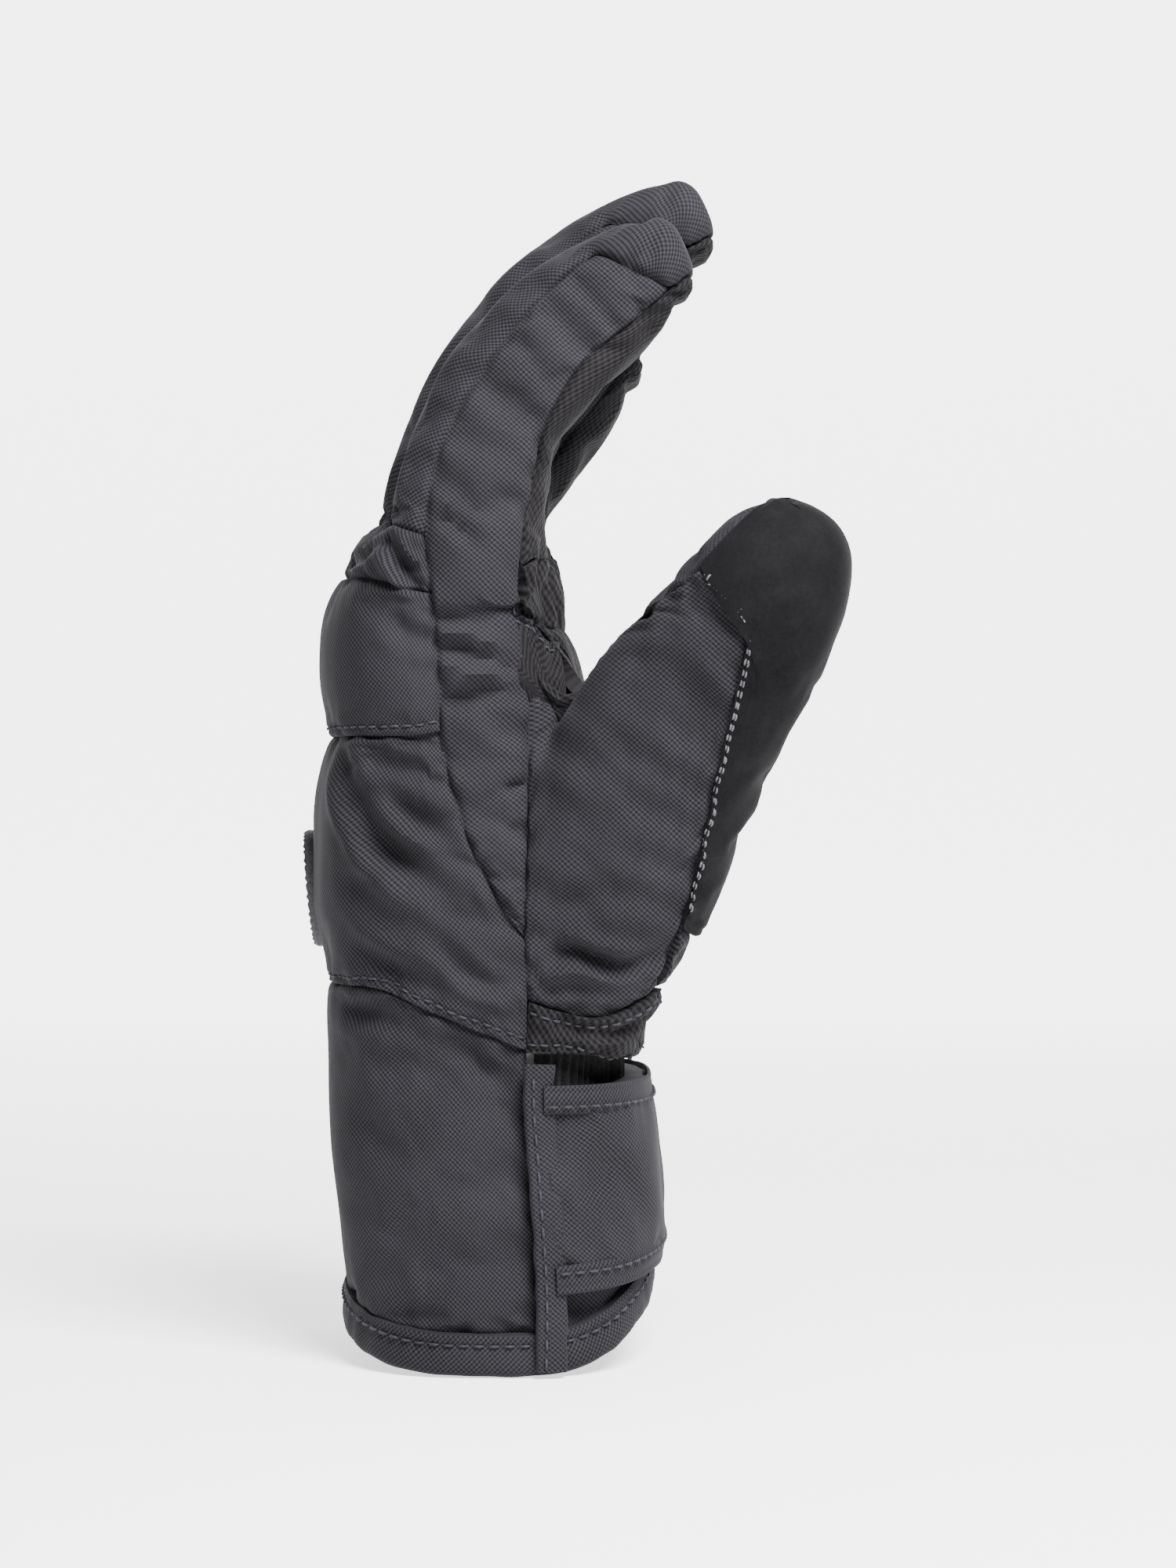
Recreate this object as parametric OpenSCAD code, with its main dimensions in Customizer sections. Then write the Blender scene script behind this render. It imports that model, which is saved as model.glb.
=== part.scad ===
// A padded ski glove for the left hand. The fingers point up, the palm faces +X,
// the thumb side faces -Y, and the origin is the centre of the cuff's mouth.
// Every sewn panel is its own closed shell or plate, and each finger has a
// knuckle joint and a middle joint, which are wedge-shaped gaps around a pivot.

/* [Cloth] */
// Thickness of the shell cloth with its backing
cloth_t = 1.8; // [1.2:0.1:2.4]
// Thickness of a finger wall: shell, fill and lining quilted as one
wall_t = 4.2; // [3:0.1:5]
// Thickness of the padding under the back of the hand
pad_t = 3.6; // [2:0.2:4]
// Gap that keeps neighbouring panels apart
seam_gap = 0.15; // [0.1:0.05:0.3]

/* [Cuff] */
// Height of the wrist seam above the hem on the palm side
wrist_z = 75; // [72:1:76]
// Extra height of the wrist seam across the back
wrist_rise = 14; // [8:1:16]
// Height of the hem binding
hem_h = 11; // [9:0.5:12]
// Rise of the hem on the palm side
hem_rise = 7; // [4:0.5:8]

/* [Closing flap] */
// Lower edge of the flap
flap_low = 20; // [18:1:24]
// Upper edge of the flap
flap_top = 66; // [62:1:68]
// Stand-off of the flap's inner face from the cuff
flap_off = 3; // [2.8:0.1:3.4]
// Thickness of the flap
flap_t = 2.8; // [2.4:0.1:3.2]

/* [Hand] */
// Height of the seam below the knuckle pad
knuckle_low = 147; // [144:1:150]
// Height of the seam above the knuckle pad, at its highest
knuckle_top = 185; // [182:1:186]

/* [Fingers] */
// Furthest bend of the knuckle joint
knuckle_bend = 30; // [20:1:32]
// Furthest bend of the middle joint
middle_bend = 35; // [20:1:37]
// How far each finger can be straightened past its sewn curve
straighten = 12; // [5:1:12]

/* [Thumb] */
// Lean of the thumb towards -Y
thumb_lean = 24; // [20:1:26]
// Furthest bend of the thumb towards the fingers
thumb_bend = 25; // [15:1:26]

/* [Hidden] */

shell_grey = [0.23, 0.23, 0.25];
palm_black = [0.14, 0.14, 0.14];
suede_black = [0.07, 0.07, 0.07];
lining_grey = [0.30, 0.30, 0.31];

// ---- Hand and cuff: one tube of rounded-box sections -----------------------
// height, back x, palm x, thumb-side y, little-side y
hand_rows = [
    [0, -34.5, 33.0, -50.0, 50.0],
    [20, -36.0, 34.0, -49.5, 49.0],
    [45, -38.0, 32.5, -48.0, 47.5],
    [62, -39.0, 31.0, -46.5, 46.0],
    [75, -39.5, 31.5, -46.0, 44.5],
    [95, -40.5, 33.0, -48.0, 45.0],
    [110, -42.0, 30.0, -50.0, 47.0],
    [130, -42.0, 24.0, -51.0, 48.5],
    [147, -40.0, 19.5, -51.2, 49.0],
    [165, -41.0, 15.5, -51.4, 49.2],
    [182, -38.0, 12.5, -51.4, 49.0],
    [200, -30.0, 9.5, -51.4, 48.5]];
section_e = 0.7; // exponent of the rounded-box section, under 1 is boxier than an ellipse

function spow(x, e) = sign(x) * pow(abs(x), e);
function row(z, i) = lookup(z, [for (r = hand_rows) [r[0], r[i]]]);

// A point of the tube: angle 0 is the back, 90 the thumb side, 180 the palm;
// off is how far it stands outside the shell's outer face.
function hand_at(z, angle, off) =
    let (a = (row(z, 2) - row(z, 1)) / 2 + off, b = (row(z, 4) - row(z, 3)) / 2 + off,
         cx = (row(z, 1) + row(z, 2)) / 2, cy = (row(z, 3) + row(z, 4)) / 2)
    [cx - a * spow(cos(angle), section_e), cy - b * spow(sin(angle), section_e), z];

// Seams that run up the hand, as height and angle
side_seam = [[0, 99], [100, 99.5], [118, 101], [136, 112], [156, 122], [200, 131]];
gusset_seam = [[99, 98], [107, 94.5], [122, 90.5], [147, 88], [200, 88]];
palm_near = 163; // angle of the palm panel's edge beside the thumb hole

// Seams that run across the hand, as angle and height
wrist_seam = [[-99, wrist_z], [-80, wrist_z + 0.6 * wrist_rise], [-60, wrist_z + wrist_rise],
    [60, wrist_z + wrist_rise], [80, wrist_z + 0.6 * wrist_rise], [99, wrist_z]];
knuckle_seam = [[-88, knuckle_top - 17], [-70, knuckle_top - 15], [-45, knuckle_top - 9],
    [-15, knuckle_top - 2], [10, knuckle_top], [60, knuckle_top], [75, knuckle_top - 2],
    [88, knuckle_top - 6.5]];

// ---- Closed sheets from two grids of points --------------------------------
// outer and inner are rows of points of the same shape. The outer face looks
// out when the rows run up and the points run towards the little finger's side.
module sheet(outer, inner) {
    rows = len(outer);
    cols = len(outer[0]);
    half = rows * cols;
    at = function (i, j, side) side * half + i * cols + j;
    skins = [for (i = [0:rows - 2], j = [0:cols - 2])
        each [[at(i, j, 0), at(i + 1, j, 0), at(i + 1, j + 1, 0)],
              [at(i, j, 0), at(i + 1, j + 1, 0), at(i, j + 1, 0)],
              [at(i, j, 1), at(i + 1, j + 1, 1), at(i + 1, j, 1)],
              [at(i, j, 1), at(i, j + 1, 1), at(i + 1, j + 1, 1)]]];
    row_rims = [for (j = [0:cols - 2])
        each [[at(0, j, 0), at(0, j + 1, 0), at(0, j + 1, 1)],
              [at(0, j, 0), at(0, j + 1, 1), at(0, j, 1)],
              [at(rows - 1, j, 0), at(rows - 1, j + 1, 1), at(rows - 1, j + 1, 0)],
              [at(rows - 1, j, 0), at(rows - 1, j, 1), at(rows - 1, j + 1, 1)]]];
    column_rims = [for (i = [0:rows - 2])
        each [[at(i, 0, 0), at(i + 1, 0, 1), at(i + 1, 0, 0)],
              [at(i, 0, 0), at(i, 0, 1), at(i + 1, 0, 1)],
              [at(i, cols - 1, 0), at(i + 1, cols - 1, 0), at(i + 1, cols - 1, 1)],
              [at(i, cols - 1, 0), at(i + 1, cols - 1, 1), at(i, cols - 1, 1)]]];
    polyhedron(
        points = concat([for (r = outer) each r], [for (r = inner) each r]),
        faces = concat(skins, row_rims, column_rims), convexity = 6);
}

// A panel of the tube between two seams across the hand, low and top, and two
// seams up it, from and to. Each is one number or a list, by angle or by height.
function mix(a, b, t) = a + (b - a) * t;
function seam_angle(s, z) = is_num(s) ? s : lookup(z, s);
function seam_height(s, a) = is_num(s) ? s : lookup(a, s);
function tube_grid(low, top, from, to, off, nz, na) =
    [for (i = [0:nz]) [for (j = [0:na])
        let (z0 = mix(seam_height(low, 0), seam_height(top, 0), i / nz),
             a0 = mix(seam_angle(from, z0), seam_angle(to, z0), j / na),
             z = mix(seam_height(low, a0), seam_height(top, a0), i / nz),
             a = mix(seam_angle(from, z), seam_angle(to, z), j / na))
        hand_at(z, a, off)]];
function raised(s, d) = [for (p = s) [p[0], p[1] + d]];
module tube_panel(low, top, from, to, off_out, thick, nz, na) {
    sheet(tube_grid(low, top, from, to, off_out, nz, na),
          tube_grid(low, top, from, to, off_out - thick, nz, na));
}

// ---- Fingers ---------------------------------------------------------------
// name, root point, width, radius of the sewn curve, lean towards -Y
fingers = [
    ["index", [-9.5, -38.2, 192], 26.0, 88, 1],
    ["middle", [-13.4, -12.1, 192], 25.6, 105, 0],
    ["ring", [-12.4, 13.4, 189], 24.8, 98, -1.5],
    ["little", [-9.0, 37.3, 183], 22.4, 79, -4]];
root_angle = 8;    // tilt of the finger's curve at its root
tip_angle = 64;    // and at its tip
knuckle_at = 2;    // arc length from the root to the knuckle pivot
middle_share = 0.52; // share of the finger's length at the middle joint
half_depth = [[0, 17], [0.35, 15.6], [0.6, 14.6], [0.8, 12.6], [0.93, 10], [1, 7.8]];
pivot_gap = 0.3;   // clearance at a pivot
turn_margin = 1;   // degrees added to each wedge

function curve_len(f) = f[3] * (tip_angle - root_angle) * PI / 180;
function share_angle(u) = root_angle + (tip_angle - root_angle) * u;
function depth_at(u) = lookup(u, half_depth);
// A point of the finger's plane at share u of its curve, off out towards its back
function on_finger(f, u, off) =
    let (a = share_angle(u), r = f[3])
    [r * cos(root_angle) - (r + off) * cos(a), (r + off) * sin(a) - r * sin(root_angle)];

// How far, as a share of the curve, a wedge of this half angle reaches at an offset
function wedge_share(f, u, off, degrees) =
    (abs(off) * tan(degrees) + pivot_gap) / (curve_len(f) * (f[3] + off) / f[3]);

// Shares at which a segment ends at its back and at its palm
function knuckle_share(f) = knuckle_at / curve_len(f);
function seg_low(f, end) = end ? middle_share : knuckle_share(f);
function low_bend(end) = (end ? middle_bend : knuckle_bend) / 2 + turn_margin;
slack = straighten / 2 + turn_margin;
function low_back(f, end) = let (u = seg_low(f, end))
    u + wedge_share(f, u, depth_at(u), slack);
function low_palm(f, end) = let (u = seg_low(f, end))
    u + wedge_share(f, u, -depth_at(u), low_bend(end));
function top_back(f, end) = end ? 1
    : middle_share - wedge_share(f, middle_share, depth_at(middle_share), slack);
function top_palm(f, end) = end ? 1
    : middle_share - wedge_share(f, middle_share, -depth_at(middle_share), low_bend(true));

steps = 7;
function run(f, from, to, side, inset) = [for (k = [0:steps])
    let (u = from + (to - from) * k / steps)
    on_finger(f, u, side * (depth_at(u) - inset))];

// Carries a profile of the finger's plane out to a plate of this width
module finger_plate(f, width, shift = 0) {
    translate(f[1]) rotate([f[4], 0, 0]) translate([0, shift, 0])
        rotate([90, 0, 0]) linear_extrude(width, center = true) children();
}

function reverse(list) = [for (i = [len(list) - 1:-1:0]) list[i]];

module finger_band(f, from, to, side) {
    outer = run(f, from, to, side, 0);
    inner = run(f, from, to, side, wall_t);
    finger_plate(f, f[2]) polygon(concat(outer, reverse(inner)));
}

// The back strip, with the blunt fingertip on the end segment
module finger_back(f, end) {
    color(shell_grey) finger_band(f, low_back(f, end), top_back(f, end), 1);
    if (end) color(shell_grey) finger_plate(f, f[2]) {
        inner_back = on_finger(f, 1, depth_at(1) - wall_t - seam_gap);
        inner_palm = on_finger(f, 1, -depth_at(1));
        forward = wall_t * 0.6 * [sin(tip_angle), cos(tip_angle)];
        polygon([inner_back, inner_palm, inner_palm + forward,
                 on_finger(f, 1, depth_at(1)) + forward,
                 on_finger(f, 1, depth_at(1)) + 0.05 * forward,
                 inner_back + 0.05 * forward]);
    }
}

module finger_palm(f, end) {
    color(palm_black)
        finger_band(f, low_palm(f, end), top_palm(f, end) - (end ? 0.004 : 0), -1);
}

// Both side walls, between the back strip and the palm strip
module finger_walls(f, end) {
    inset = wall_t + seam_gap;
    low = on_finger(f, seg_low(f, end) + pivot_gap / curve_len(f), 0);
    top = on_finger(f, end ? 1 : middle_share - pivot_gap / curve_len(f), 0);
    stop = end ? 0.004 : 0;
    color(shell_grey) for (side = [-1, 1])
        finger_plate(f, wall_t, side * (f[2] - wall_t) / 2)
            polygon(concat(
                run(f, low_back(f, end), top_back(f, end) - stop, 1, inset),
                end ? [] : [top],
                reverse(run(f, low_palm(f, end), top_palm(f, end) - stop, -1, inset)),
                [low]));
}

// ---- Hand panels -----------------------------------------------------------
// Top of the hand's shell under the fingers, at a side-to-side place: it drops
// clear of the finger roots, more on the palm side, where the fingers fold in.
function knuckle_z(y) = lookup(y, [for (f = fingers) [f[1][1], f[1][2] + knuckle_at]]);
function palm_drop(x) = x > -9
    ? pivot_gap + (x + 9) * tan(knuckle_bend / 2 + turn_margin + root_angle)
    : pivot_gap - (x + 9) * tan(max(slack - root_angle, 0.5));
function top_at(p) = knuckle_z(p[1]) - palm_drop(p[0]) - 0.4;

// A panel whose upper edge follows the finger roots
function root_grid(low, from, to, off, nz, na) =
    [for (i = [0:nz]) [for (j = [0:na])
        let (a0 = mix(seam_angle(from, 185), seam_angle(to, 185), j / na),
             z = mix(seam_height(low, a0), top_at(hand_at(185, a0, 0)), i / nz),
             a = mix(seam_angle(from, z), seam_angle(to, z), j / na))
        hand_at(z, a, off)]];
module root_panel(low, from, to, off_out, thick, nz, na) {
    sheet(root_grid(low, from, to, off_out, nz, na),
          root_grid(low, from, to, off_out - thick, nz, na));
}

function far(s) = is_num(s) ? 360 - s : [for (p = s) [p[0], 360 - p[1]]];
function less(s, d) = is_num(s) ? s - d : [for (p = s) [p[0], p[1] - d]];
function minus(s) = is_num(s) ? -s : [for (p = s) [p[0], -p[1]]];
seam_deg = 0.3; // half the angle left between two panels at a seam
fill_in = cloth_t + 0.5;        // depth of the fill's outer face below the shell's
lining_t = 1;                   // thickness of the lining
lining_in = fill_in + pad_t + 0.5; // depth of the lining's outer face

module back_panel() {
    edge = less(gusset_seam, seam_deg);
    color(shell_grey) tube_panel(raised(wrist_seam, 2 * seam_gap), knuckle_low - seam_gap,
        minus(edge), edge, 0, cloth_t, 10, 24);
}
module knuckle_panel() {
    color(shell_grey) tube_panel(knuckle_low + seam_gap, raised(knuckle_seam, -seam_gap),
        -88 + seam_deg, 88 - seam_deg, 0, cloth_t, 5, 24);
}
module yoke_panel() {
    color(shell_grey) root_panel(raised(knuckle_seam, seam_gap), -88 + seam_deg, 88 - seam_deg,
        0, cloth_t, 2, 24);
}
module index_gusset() {
    color(shell_grey) root_panel(100, less(gusset_seam, -seam_deg), less(side_seam, seam_deg),
        0, cloth_t, 9, 3);
}
module little_gusset() {
    color(shell_grey) root_panel(100, far(less(side_seam, seam_deg)),
        far(less(gusset_seam, -seam_deg)), 0, cloth_t, 9, 3);
}

// ---- Thumb -----------------------------------------------------------------
hole_low = 88;   // lower edge of the thumb's hole in the hand
hole_top = 145;  // upper edge
hinge_at = [40, -45, 148]; // pivot of the thumb
thumb_tilt = 33; // tilt of the thumb's axis from upright, in its own plane
thumb_len = 61;  // pivot to tip
// share of the length, half width, half thickness
thumb_rows = [[0, 22.5, 16], [0.3, 20.5, 15.5], [0.55, 18.5, 15], [0.75, 16, 14],
              [0.88, 12.5, 11.5], [0.96, 7.5, 7], [1, 0.6, 0.6]];
thumb_ring = 24; // sides of a thumb section
thumb_e = 0.8;

// From the thumb's own frame, z along its axis and x towards its outer edge
function thumb_world(p) =
    let (x = p[0] * cos(thumb_tilt) + p[2] * sin(thumb_tilt),
         z = -p[0] * sin(thumb_tilt) + p[2] * cos(thumb_tilt))
    hinge_at + [x, p[1] * cos(thumb_lean) - z * sin(thumb_lean),
                p[1] * sin(thumb_lean) + z * cos(thumb_lean)];

// Angle 90 is the edge towards the fingers, 180 the thumb side, 270 the outer edge
function thumb_at(u, angle, off) =
    let (a = max(lookup(u, [for (r = thumb_rows) [r[0], r[1]]]) + off, 0.2),
         b = max(lookup(u, [for (r = thumb_rows) [r[0], r[2]]]) + off, 0.2))
    [-a * spow(sin(angle), thumb_e), b * spow(cos(angle), thumb_e),
     thumb_len * u + min(off, 0) * u];

// The wedge that lets the thumb turn: half angles towards and away from the fingers
function thumb_wedge(angle) = 0.4 + 22.5 * (sin(angle) > 0
    ? sin(angle) * tan(thumb_bend / 2 + turn_margin)
    : -sin(angle) * tan(7.5 + turn_margin));

function thumb_grid(from, to, off, nu, na) =
    [for (i = [0:nu]) [for (j = [0:na])
        let (angle = from + (to - from) * j / na,
             start = thumb_wedge(angle) / thumb_len,
             u = start + (1 - start) * i / nu)
        thumb_world(thumb_at(u, angle, off))]];
module thumb_panel(from, to, off_out, thick, nu = 12, na = 6) {
    sheet(thumb_grid(from + 0.5, to - 0.5, off_out, nu, na),
          thumb_grid(from + 0.5, to - 0.5, off_out - thick, nu, na));
}

// The hole in the hand, run round with the same angles as a thumb section. Its
// upper edge is inset by off downwards, the rest into the hand.
hole_e = 0.3; // exponent of the hole's rounded rectangle
function hole_at(angle, off) =
    let (up = max(sin(angle), 0), tall = (hole_top - hole_low) / 2 + off * up,
         z = (hole_low + hole_top) / 2 + tall * spow(sin(angle), hole_e),
         near = lookup(z, side_seam) + 1)
    hand_at(z, (near + palm_near - 1) / 2 + (palm_near - 1 - near) / 2
        * spow(cos(angle), hole_e), off * (1 - up));
function thumb_root_grid(from, to, off, nu, na) =
    [for (i = [0:nu]) [for (j = [0:na])
        let (angle = from + (to - from) * j / na, t = i / nu,
             a = hole_at(angle, off),
             ring = thumb_at(0, angle, off),
             b = thumb_world([ring[0], ring[1], -thumb_wedge(angle)]))
        a * (1 - t) + b * t]];
module thumb_root_panel(from, to) {
    sheet(thumb_root_grid(from + 0.5, to - 0.5, 0, 5, 8),
          thumb_root_grid(from + 0.5, to - 0.5, -cloth_t, 5, 8));
}

// ---- Palm ------------------------------------------------------------------
module finger_root_panel() {
    color(palm_black) root_panel(hole_top + 0.4, less(side_seam, -seam_deg),
        far(less(side_seam, -seam_deg)), 0, cloth_t, 4, 12);
}
module palm_panel() {
    color(palm_black) tube_panel(hole_low, hole_top, palm_near + seam_deg,
        far(less(side_seam, -seam_deg)), 0, cloth_t, 8, 8);
}
module wrist_palm_panel() {
    color(palm_black) tube_panel(wrist_z + seam_gap, hole_low - 0.4,
        less(side_seam, -seam_deg), far(less(side_seam, -seam_deg)), 0, cloth_t, 2, 16);
}

// ---- Cuff ------------------------------------------------------------------
module cuff_back() {
    color(shell_grey) tube_panel(hem_h + seam_gap, raised(wrist_seam, -2 * seam_gap),
        -99 + seam_deg, 99 - seam_deg, 0, cloth_t, 6, 24);
}
module cuff_palm() {
    color(shell_grey) tube_panel(hem_h + seam_gap, wrist_z - seam_gap,
        99 + seam_deg, 261 - seam_deg, 0, cloth_t, 6, 16);
}
// The band sewn over the mouth's edge, lower all round the back than on the palm side
module hem_binding() {
    hem_steps = 72;
    rim = function (off) [for (k = [0:hem_steps - 1])
        let (p = hand_at(0, 360 * k / hem_steps, off)) [p[0], p[1]]];
    color(shell_grey) difference() {
        linear_extrude(hem_h) difference() {
            polygon(rim(0.4));
            polygon(rim(-3.2));
        }
        translate([10, -80, -20]) rotate([0, -atan(hem_rise / 24), 0])
            translate([0, 0, 0]) cube([80, 160, 20]);
    }
}
module side_binding() {
    color(shell_grey) tube_panel(hem_h + 0.4, 70, 99.6, 106, 2.7, 2.6, 5, 2);
}
module loop_patch() {
    color(suede_black) tube_panel(27, 59, 214, 250, 1.4, 1.3, 3, 5);
}
module heel_tab() {
    color(palm_black) tube_panel(76.5, 84.5, 206, 222, 2.4, 2.3, 2, 2);
}
module wrist_elastic() {
    color(suede_black) tube_panel(70, 80, 110, 250, -fill_in, lining_t, 2, 12);
}
module cuff_lining() {
    color(lining_grey) for (half = [[-89.7, 89.7], [90.3, 269.7]])
        tube_panel(hem_h + 1, 69.6, half[0], half[1], -fill_in, lining_t, 4, 14);
}

// ---- Layers inside the hand ------------------------------------------------
module knuckle_foam() {
    color(lining_grey) tube_panel(knuckle_low + 3, raised(knuckle_seam, -3), -60, 60, -fill_in, pad_t, 3, 10);
}
module insulation_back() {
    color(lining_grey) tube_panel(wrist_z + 3, knuckle_low - 2, -80, 80, -fill_in, pad_t, 6, 12);
}
module insulation_palm() {
    color(lining_grey) tube_panel(hole_low + 1, hole_top - 1, palm_near + 2, 240, -fill_in, pad_t, 4, 6);
}
module lining_back() {
    color(lining_grey) tube_panel(wrist_z + 6, knuckle_top - 5, -80, 80, -lining_in, lining_t, 8, 12);
}
module lining_palm() {
    color(lining_grey) tube_panel(hole_low + 1, hole_top + 25, palm_near + 2, 240,
        -lining_in, lining_t, 6, 6);
}
// A blank oval badge with a stitched rim on the back of the hand
module badge_patch() {
    badge_mid = 110.7;
    badge_half = 13.8;
    round = function (z, off) [for (j = [0:6])
        hand_at(z, (j / 3 - 1) * (1.5 + 10.5 * sqrt(max(1 - pow((z - badge_mid) / badge_half, 2), 0))), off)];
    levels = [for (k = [-6:6]) badge_mid + badge_half * sin(k * 14.8)];
    color(suede_black) sheet([for (z = levels) round(z, 2.4)], [for (z = levels) round(z, 0.1)]);
}

// ---- Closing flap ----------------------------------------------------------
flap_from = 110;   // angle of its sewn edge
flap_to = 252;     // angle of its free end
bind_h = 7;        // height of each bound edge
module flap_panel() {
    color(shell_grey) tube_panel(flap_low + bind_h + seam_gap, flap_top - bind_h - seam_gap,
        flap_from, flap_to, flap_off + flap_t - 0.4, flap_t - 0.4, 3, 16);
}
module flap_binding() {
    color(shell_grey) for (low = [flap_low, flap_top - bind_h])
        tube_panel(low, low + bind_h, flap_from, flap_to, flap_off + flap_t, flap_t, 1, 16);
}
module hook_patch() {
    color(suede_black) tube_panel(flap_low + bind_h + 1, flap_top - bind_h - 1,
        216, 248, flap_off - 0.25, 1.05, 3, 5);
}

back_panel();
knuckle_panel();
yoke_panel();
index_gusset();
little_gusset();
finger_root_panel();
palm_panel();
wrist_palm_panel();
color(shell_grey) thumb_root_panel(125, 235);  // thumb_root_front
color(palm_black) thumb_root_panel(55, 125);  // thumb_root_inner
color(shell_grey) thumb_root_panel(235, 305);  // thumb_root_outer
color(palm_black) thumb_root_panel(305, 415);  // thumb_root_rear
color(shell_grey) thumb_panel(125, 225, 0, 3);  // thumb_front
color(shell_grey) thumb_panel(45, 125, 0, 3);  // thumb_inner
color(suede_black) thumb_panel(225, 315, 0, 3);  // thumb_suede
color(palm_black) thumb_panel(315, 405, 0, 3);  // thumb_rear
cuff_back();
cuff_palm();
hem_binding();
side_binding();
loop_patch();
heel_tab();
wrist_elastic();
badge_patch();
knuckle_foam();
insulation_back();
insulation_palm();
lining_back();
lining_palm();
cuff_lining();
flap_panel();
flap_binding();
hook_patch();
for (f = fingers) {
    for (end = [false, true]) {
        segment = str(f[0], end ? "_end" : "_base");
        finger_back(f, end);
        finger_walls(f, end);
        finger_palm(f, end);
    }
}
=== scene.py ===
import math
import bpy
import numpy as np
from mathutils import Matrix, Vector


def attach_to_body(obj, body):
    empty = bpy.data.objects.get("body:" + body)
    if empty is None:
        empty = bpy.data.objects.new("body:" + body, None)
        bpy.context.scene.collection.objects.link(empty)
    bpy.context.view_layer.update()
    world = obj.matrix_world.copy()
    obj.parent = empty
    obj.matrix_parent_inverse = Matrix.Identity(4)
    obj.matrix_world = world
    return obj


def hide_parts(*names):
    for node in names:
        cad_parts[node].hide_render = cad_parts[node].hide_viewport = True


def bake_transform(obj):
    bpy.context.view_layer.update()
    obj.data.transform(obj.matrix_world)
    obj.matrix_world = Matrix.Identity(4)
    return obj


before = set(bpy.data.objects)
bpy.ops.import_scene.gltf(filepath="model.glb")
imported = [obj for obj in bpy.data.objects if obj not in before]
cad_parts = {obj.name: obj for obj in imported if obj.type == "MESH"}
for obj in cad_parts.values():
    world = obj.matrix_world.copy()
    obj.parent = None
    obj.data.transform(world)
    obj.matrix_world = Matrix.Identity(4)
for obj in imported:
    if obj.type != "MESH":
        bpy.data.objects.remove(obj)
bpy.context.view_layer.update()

# A padded ski glove for the left hand. Lengths are in millimetres until a mesh is made.


# curves and tables
def evenly(line, count):  # the same line, with its points spaced evenly by length
    step = np.linalg.norm(np.diff(line, axis=0), axis=1)
    run = np.concatenate([[0.0], np.cumsum(step)])
    at = np.linspace(0.0, run[-1], count)
    return np.stack([np.interp(at, run, line[:, k]) for k in range(line.shape[1])], 1)


def smoothLine(points, count):
    # Catmull-Rom curve through the points: on each span a cubic whose slope at a
    # point is half the step between that point's neighbours
    p = np.asarray(points, float)
    q = np.vstack([2 * p[0] - p[1], p, 2 * p[-1] - p[-2]])
    t = np.linspace(0, 1, 24, endpoint=False)[None, :, None]
    a, b, c, d = (q[i:len(q) - 3 + i, None] for i in range(4))
    span = 0.5 * (2 * b + (c - a) * t + (2 * a - 5 * b + 4 * c - d) * t ** 2 + (3 * b - a - 3 * c + d)
                  * t ** 3)
    return evenly(np.vstack([span.reshape(-1, p.shape[1]), p[-1:]]), count)


def table(points):  # a smooth function through (x, y) points
    dense = smoothLine(points, 500)
    return lambda x: np.interp(x, dense[:, 0], dense[:, 1])


def signedPower(x, e):
    return np.sign(x) * np.abs(x) ** e


# the glove's body as a distance field
handShape = {
    "rows": [  # height, back x, palm x, thumb-side y, little-side y
        (-14, -33.6, 32.0, -49.6, 49.6), (0, -34.5, 33.0, -50.0, 50.0), (20, -36.0, 34.0, -49.5, 49.0),
        (45, -38.0, 32.5, -48.0, 47.5), (62, -39.0, 31.0, -46.5, 46.0), (75, -39.5, 31.5, -46.0, 44.5),
        (95, -40.5, 33.0, -48.0, 45.0), (110, -42.0, 30.0, -50.0, 47.0), (130, -42.0, 24.0, -51.0, 48.5),
        (147, -40.0, 19.5, -51.2, 49.0), (165, -41.0, 15.5, -51.4, 49.2), (182, -38.5, 12.5, -51.4, 49.0),
        (200, -31.0, 9.5, -51.4, 48.5), (214, -26.0, 8.0, -51.4, 48.5)],
    "power": 0.7,      # under 1 is boxier than an ellipse
    "topEdge": 8.0,    # rounding where the hand ends under the fingers
}
rowTables = [table([(r[0], r[k]) for r in handShape["rows"]]) for k in (1, 2, 3, 4)]


def handSection(z):
    back, palm, near, far = (t(z) for t in rowTables)
    return (palm - back) / 2, (far - near) / 2, (back + palm) / 2, (near + far) / 2


def handPoint(z, angle, off=0.0):  # angle 0 is the back, 90 the thumb side, 180 the palm
    z, angle = np.broadcast_arrays(np.asarray(z, float), np.asarray(angle, float))
    a, b, cx, cy = handSection(z)
    turn = np.radians(angle)
    e = handShape["power"]
    return np.stack([cx - (a + off) * signedPower(np.cos(turn), e),
                     cy - (b + off) * signedPower(np.sin(turn), e), z], -1)


def handTop(y):  # where the hand ends and the fingers begin, which is lower at the little finger
    return np.interp(y, [-38, -12, 13, 37, 50], [197, 197, 194, 188, 185])


def handDistance(p):
    a, b, cx, cy = handSection(p[..., 2])
    n = 2 / handShape["power"]
    x, y = np.abs(p[..., 0] - cx) / a + 1e-9, np.abs(p[..., 1] - cy) / b + 1e-9
    level = (x ** n + y ** n) ** (1 / n)
    slope = level ** (1 - n) * np.sqrt((x ** (n - 1) / a) ** 2 + (y ** (n - 1) / b) ** 2)
    side = (level - 1) / slope
    r = handShape["topEdge"]
    over = p[..., 2] - handTop(p[..., 1])
    return np.hypot(np.maximum(side + r, 0), np.maximum(over + r, 0)) + np.minimum(np.maximum(side + r,
        over + r), 0) - r


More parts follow.
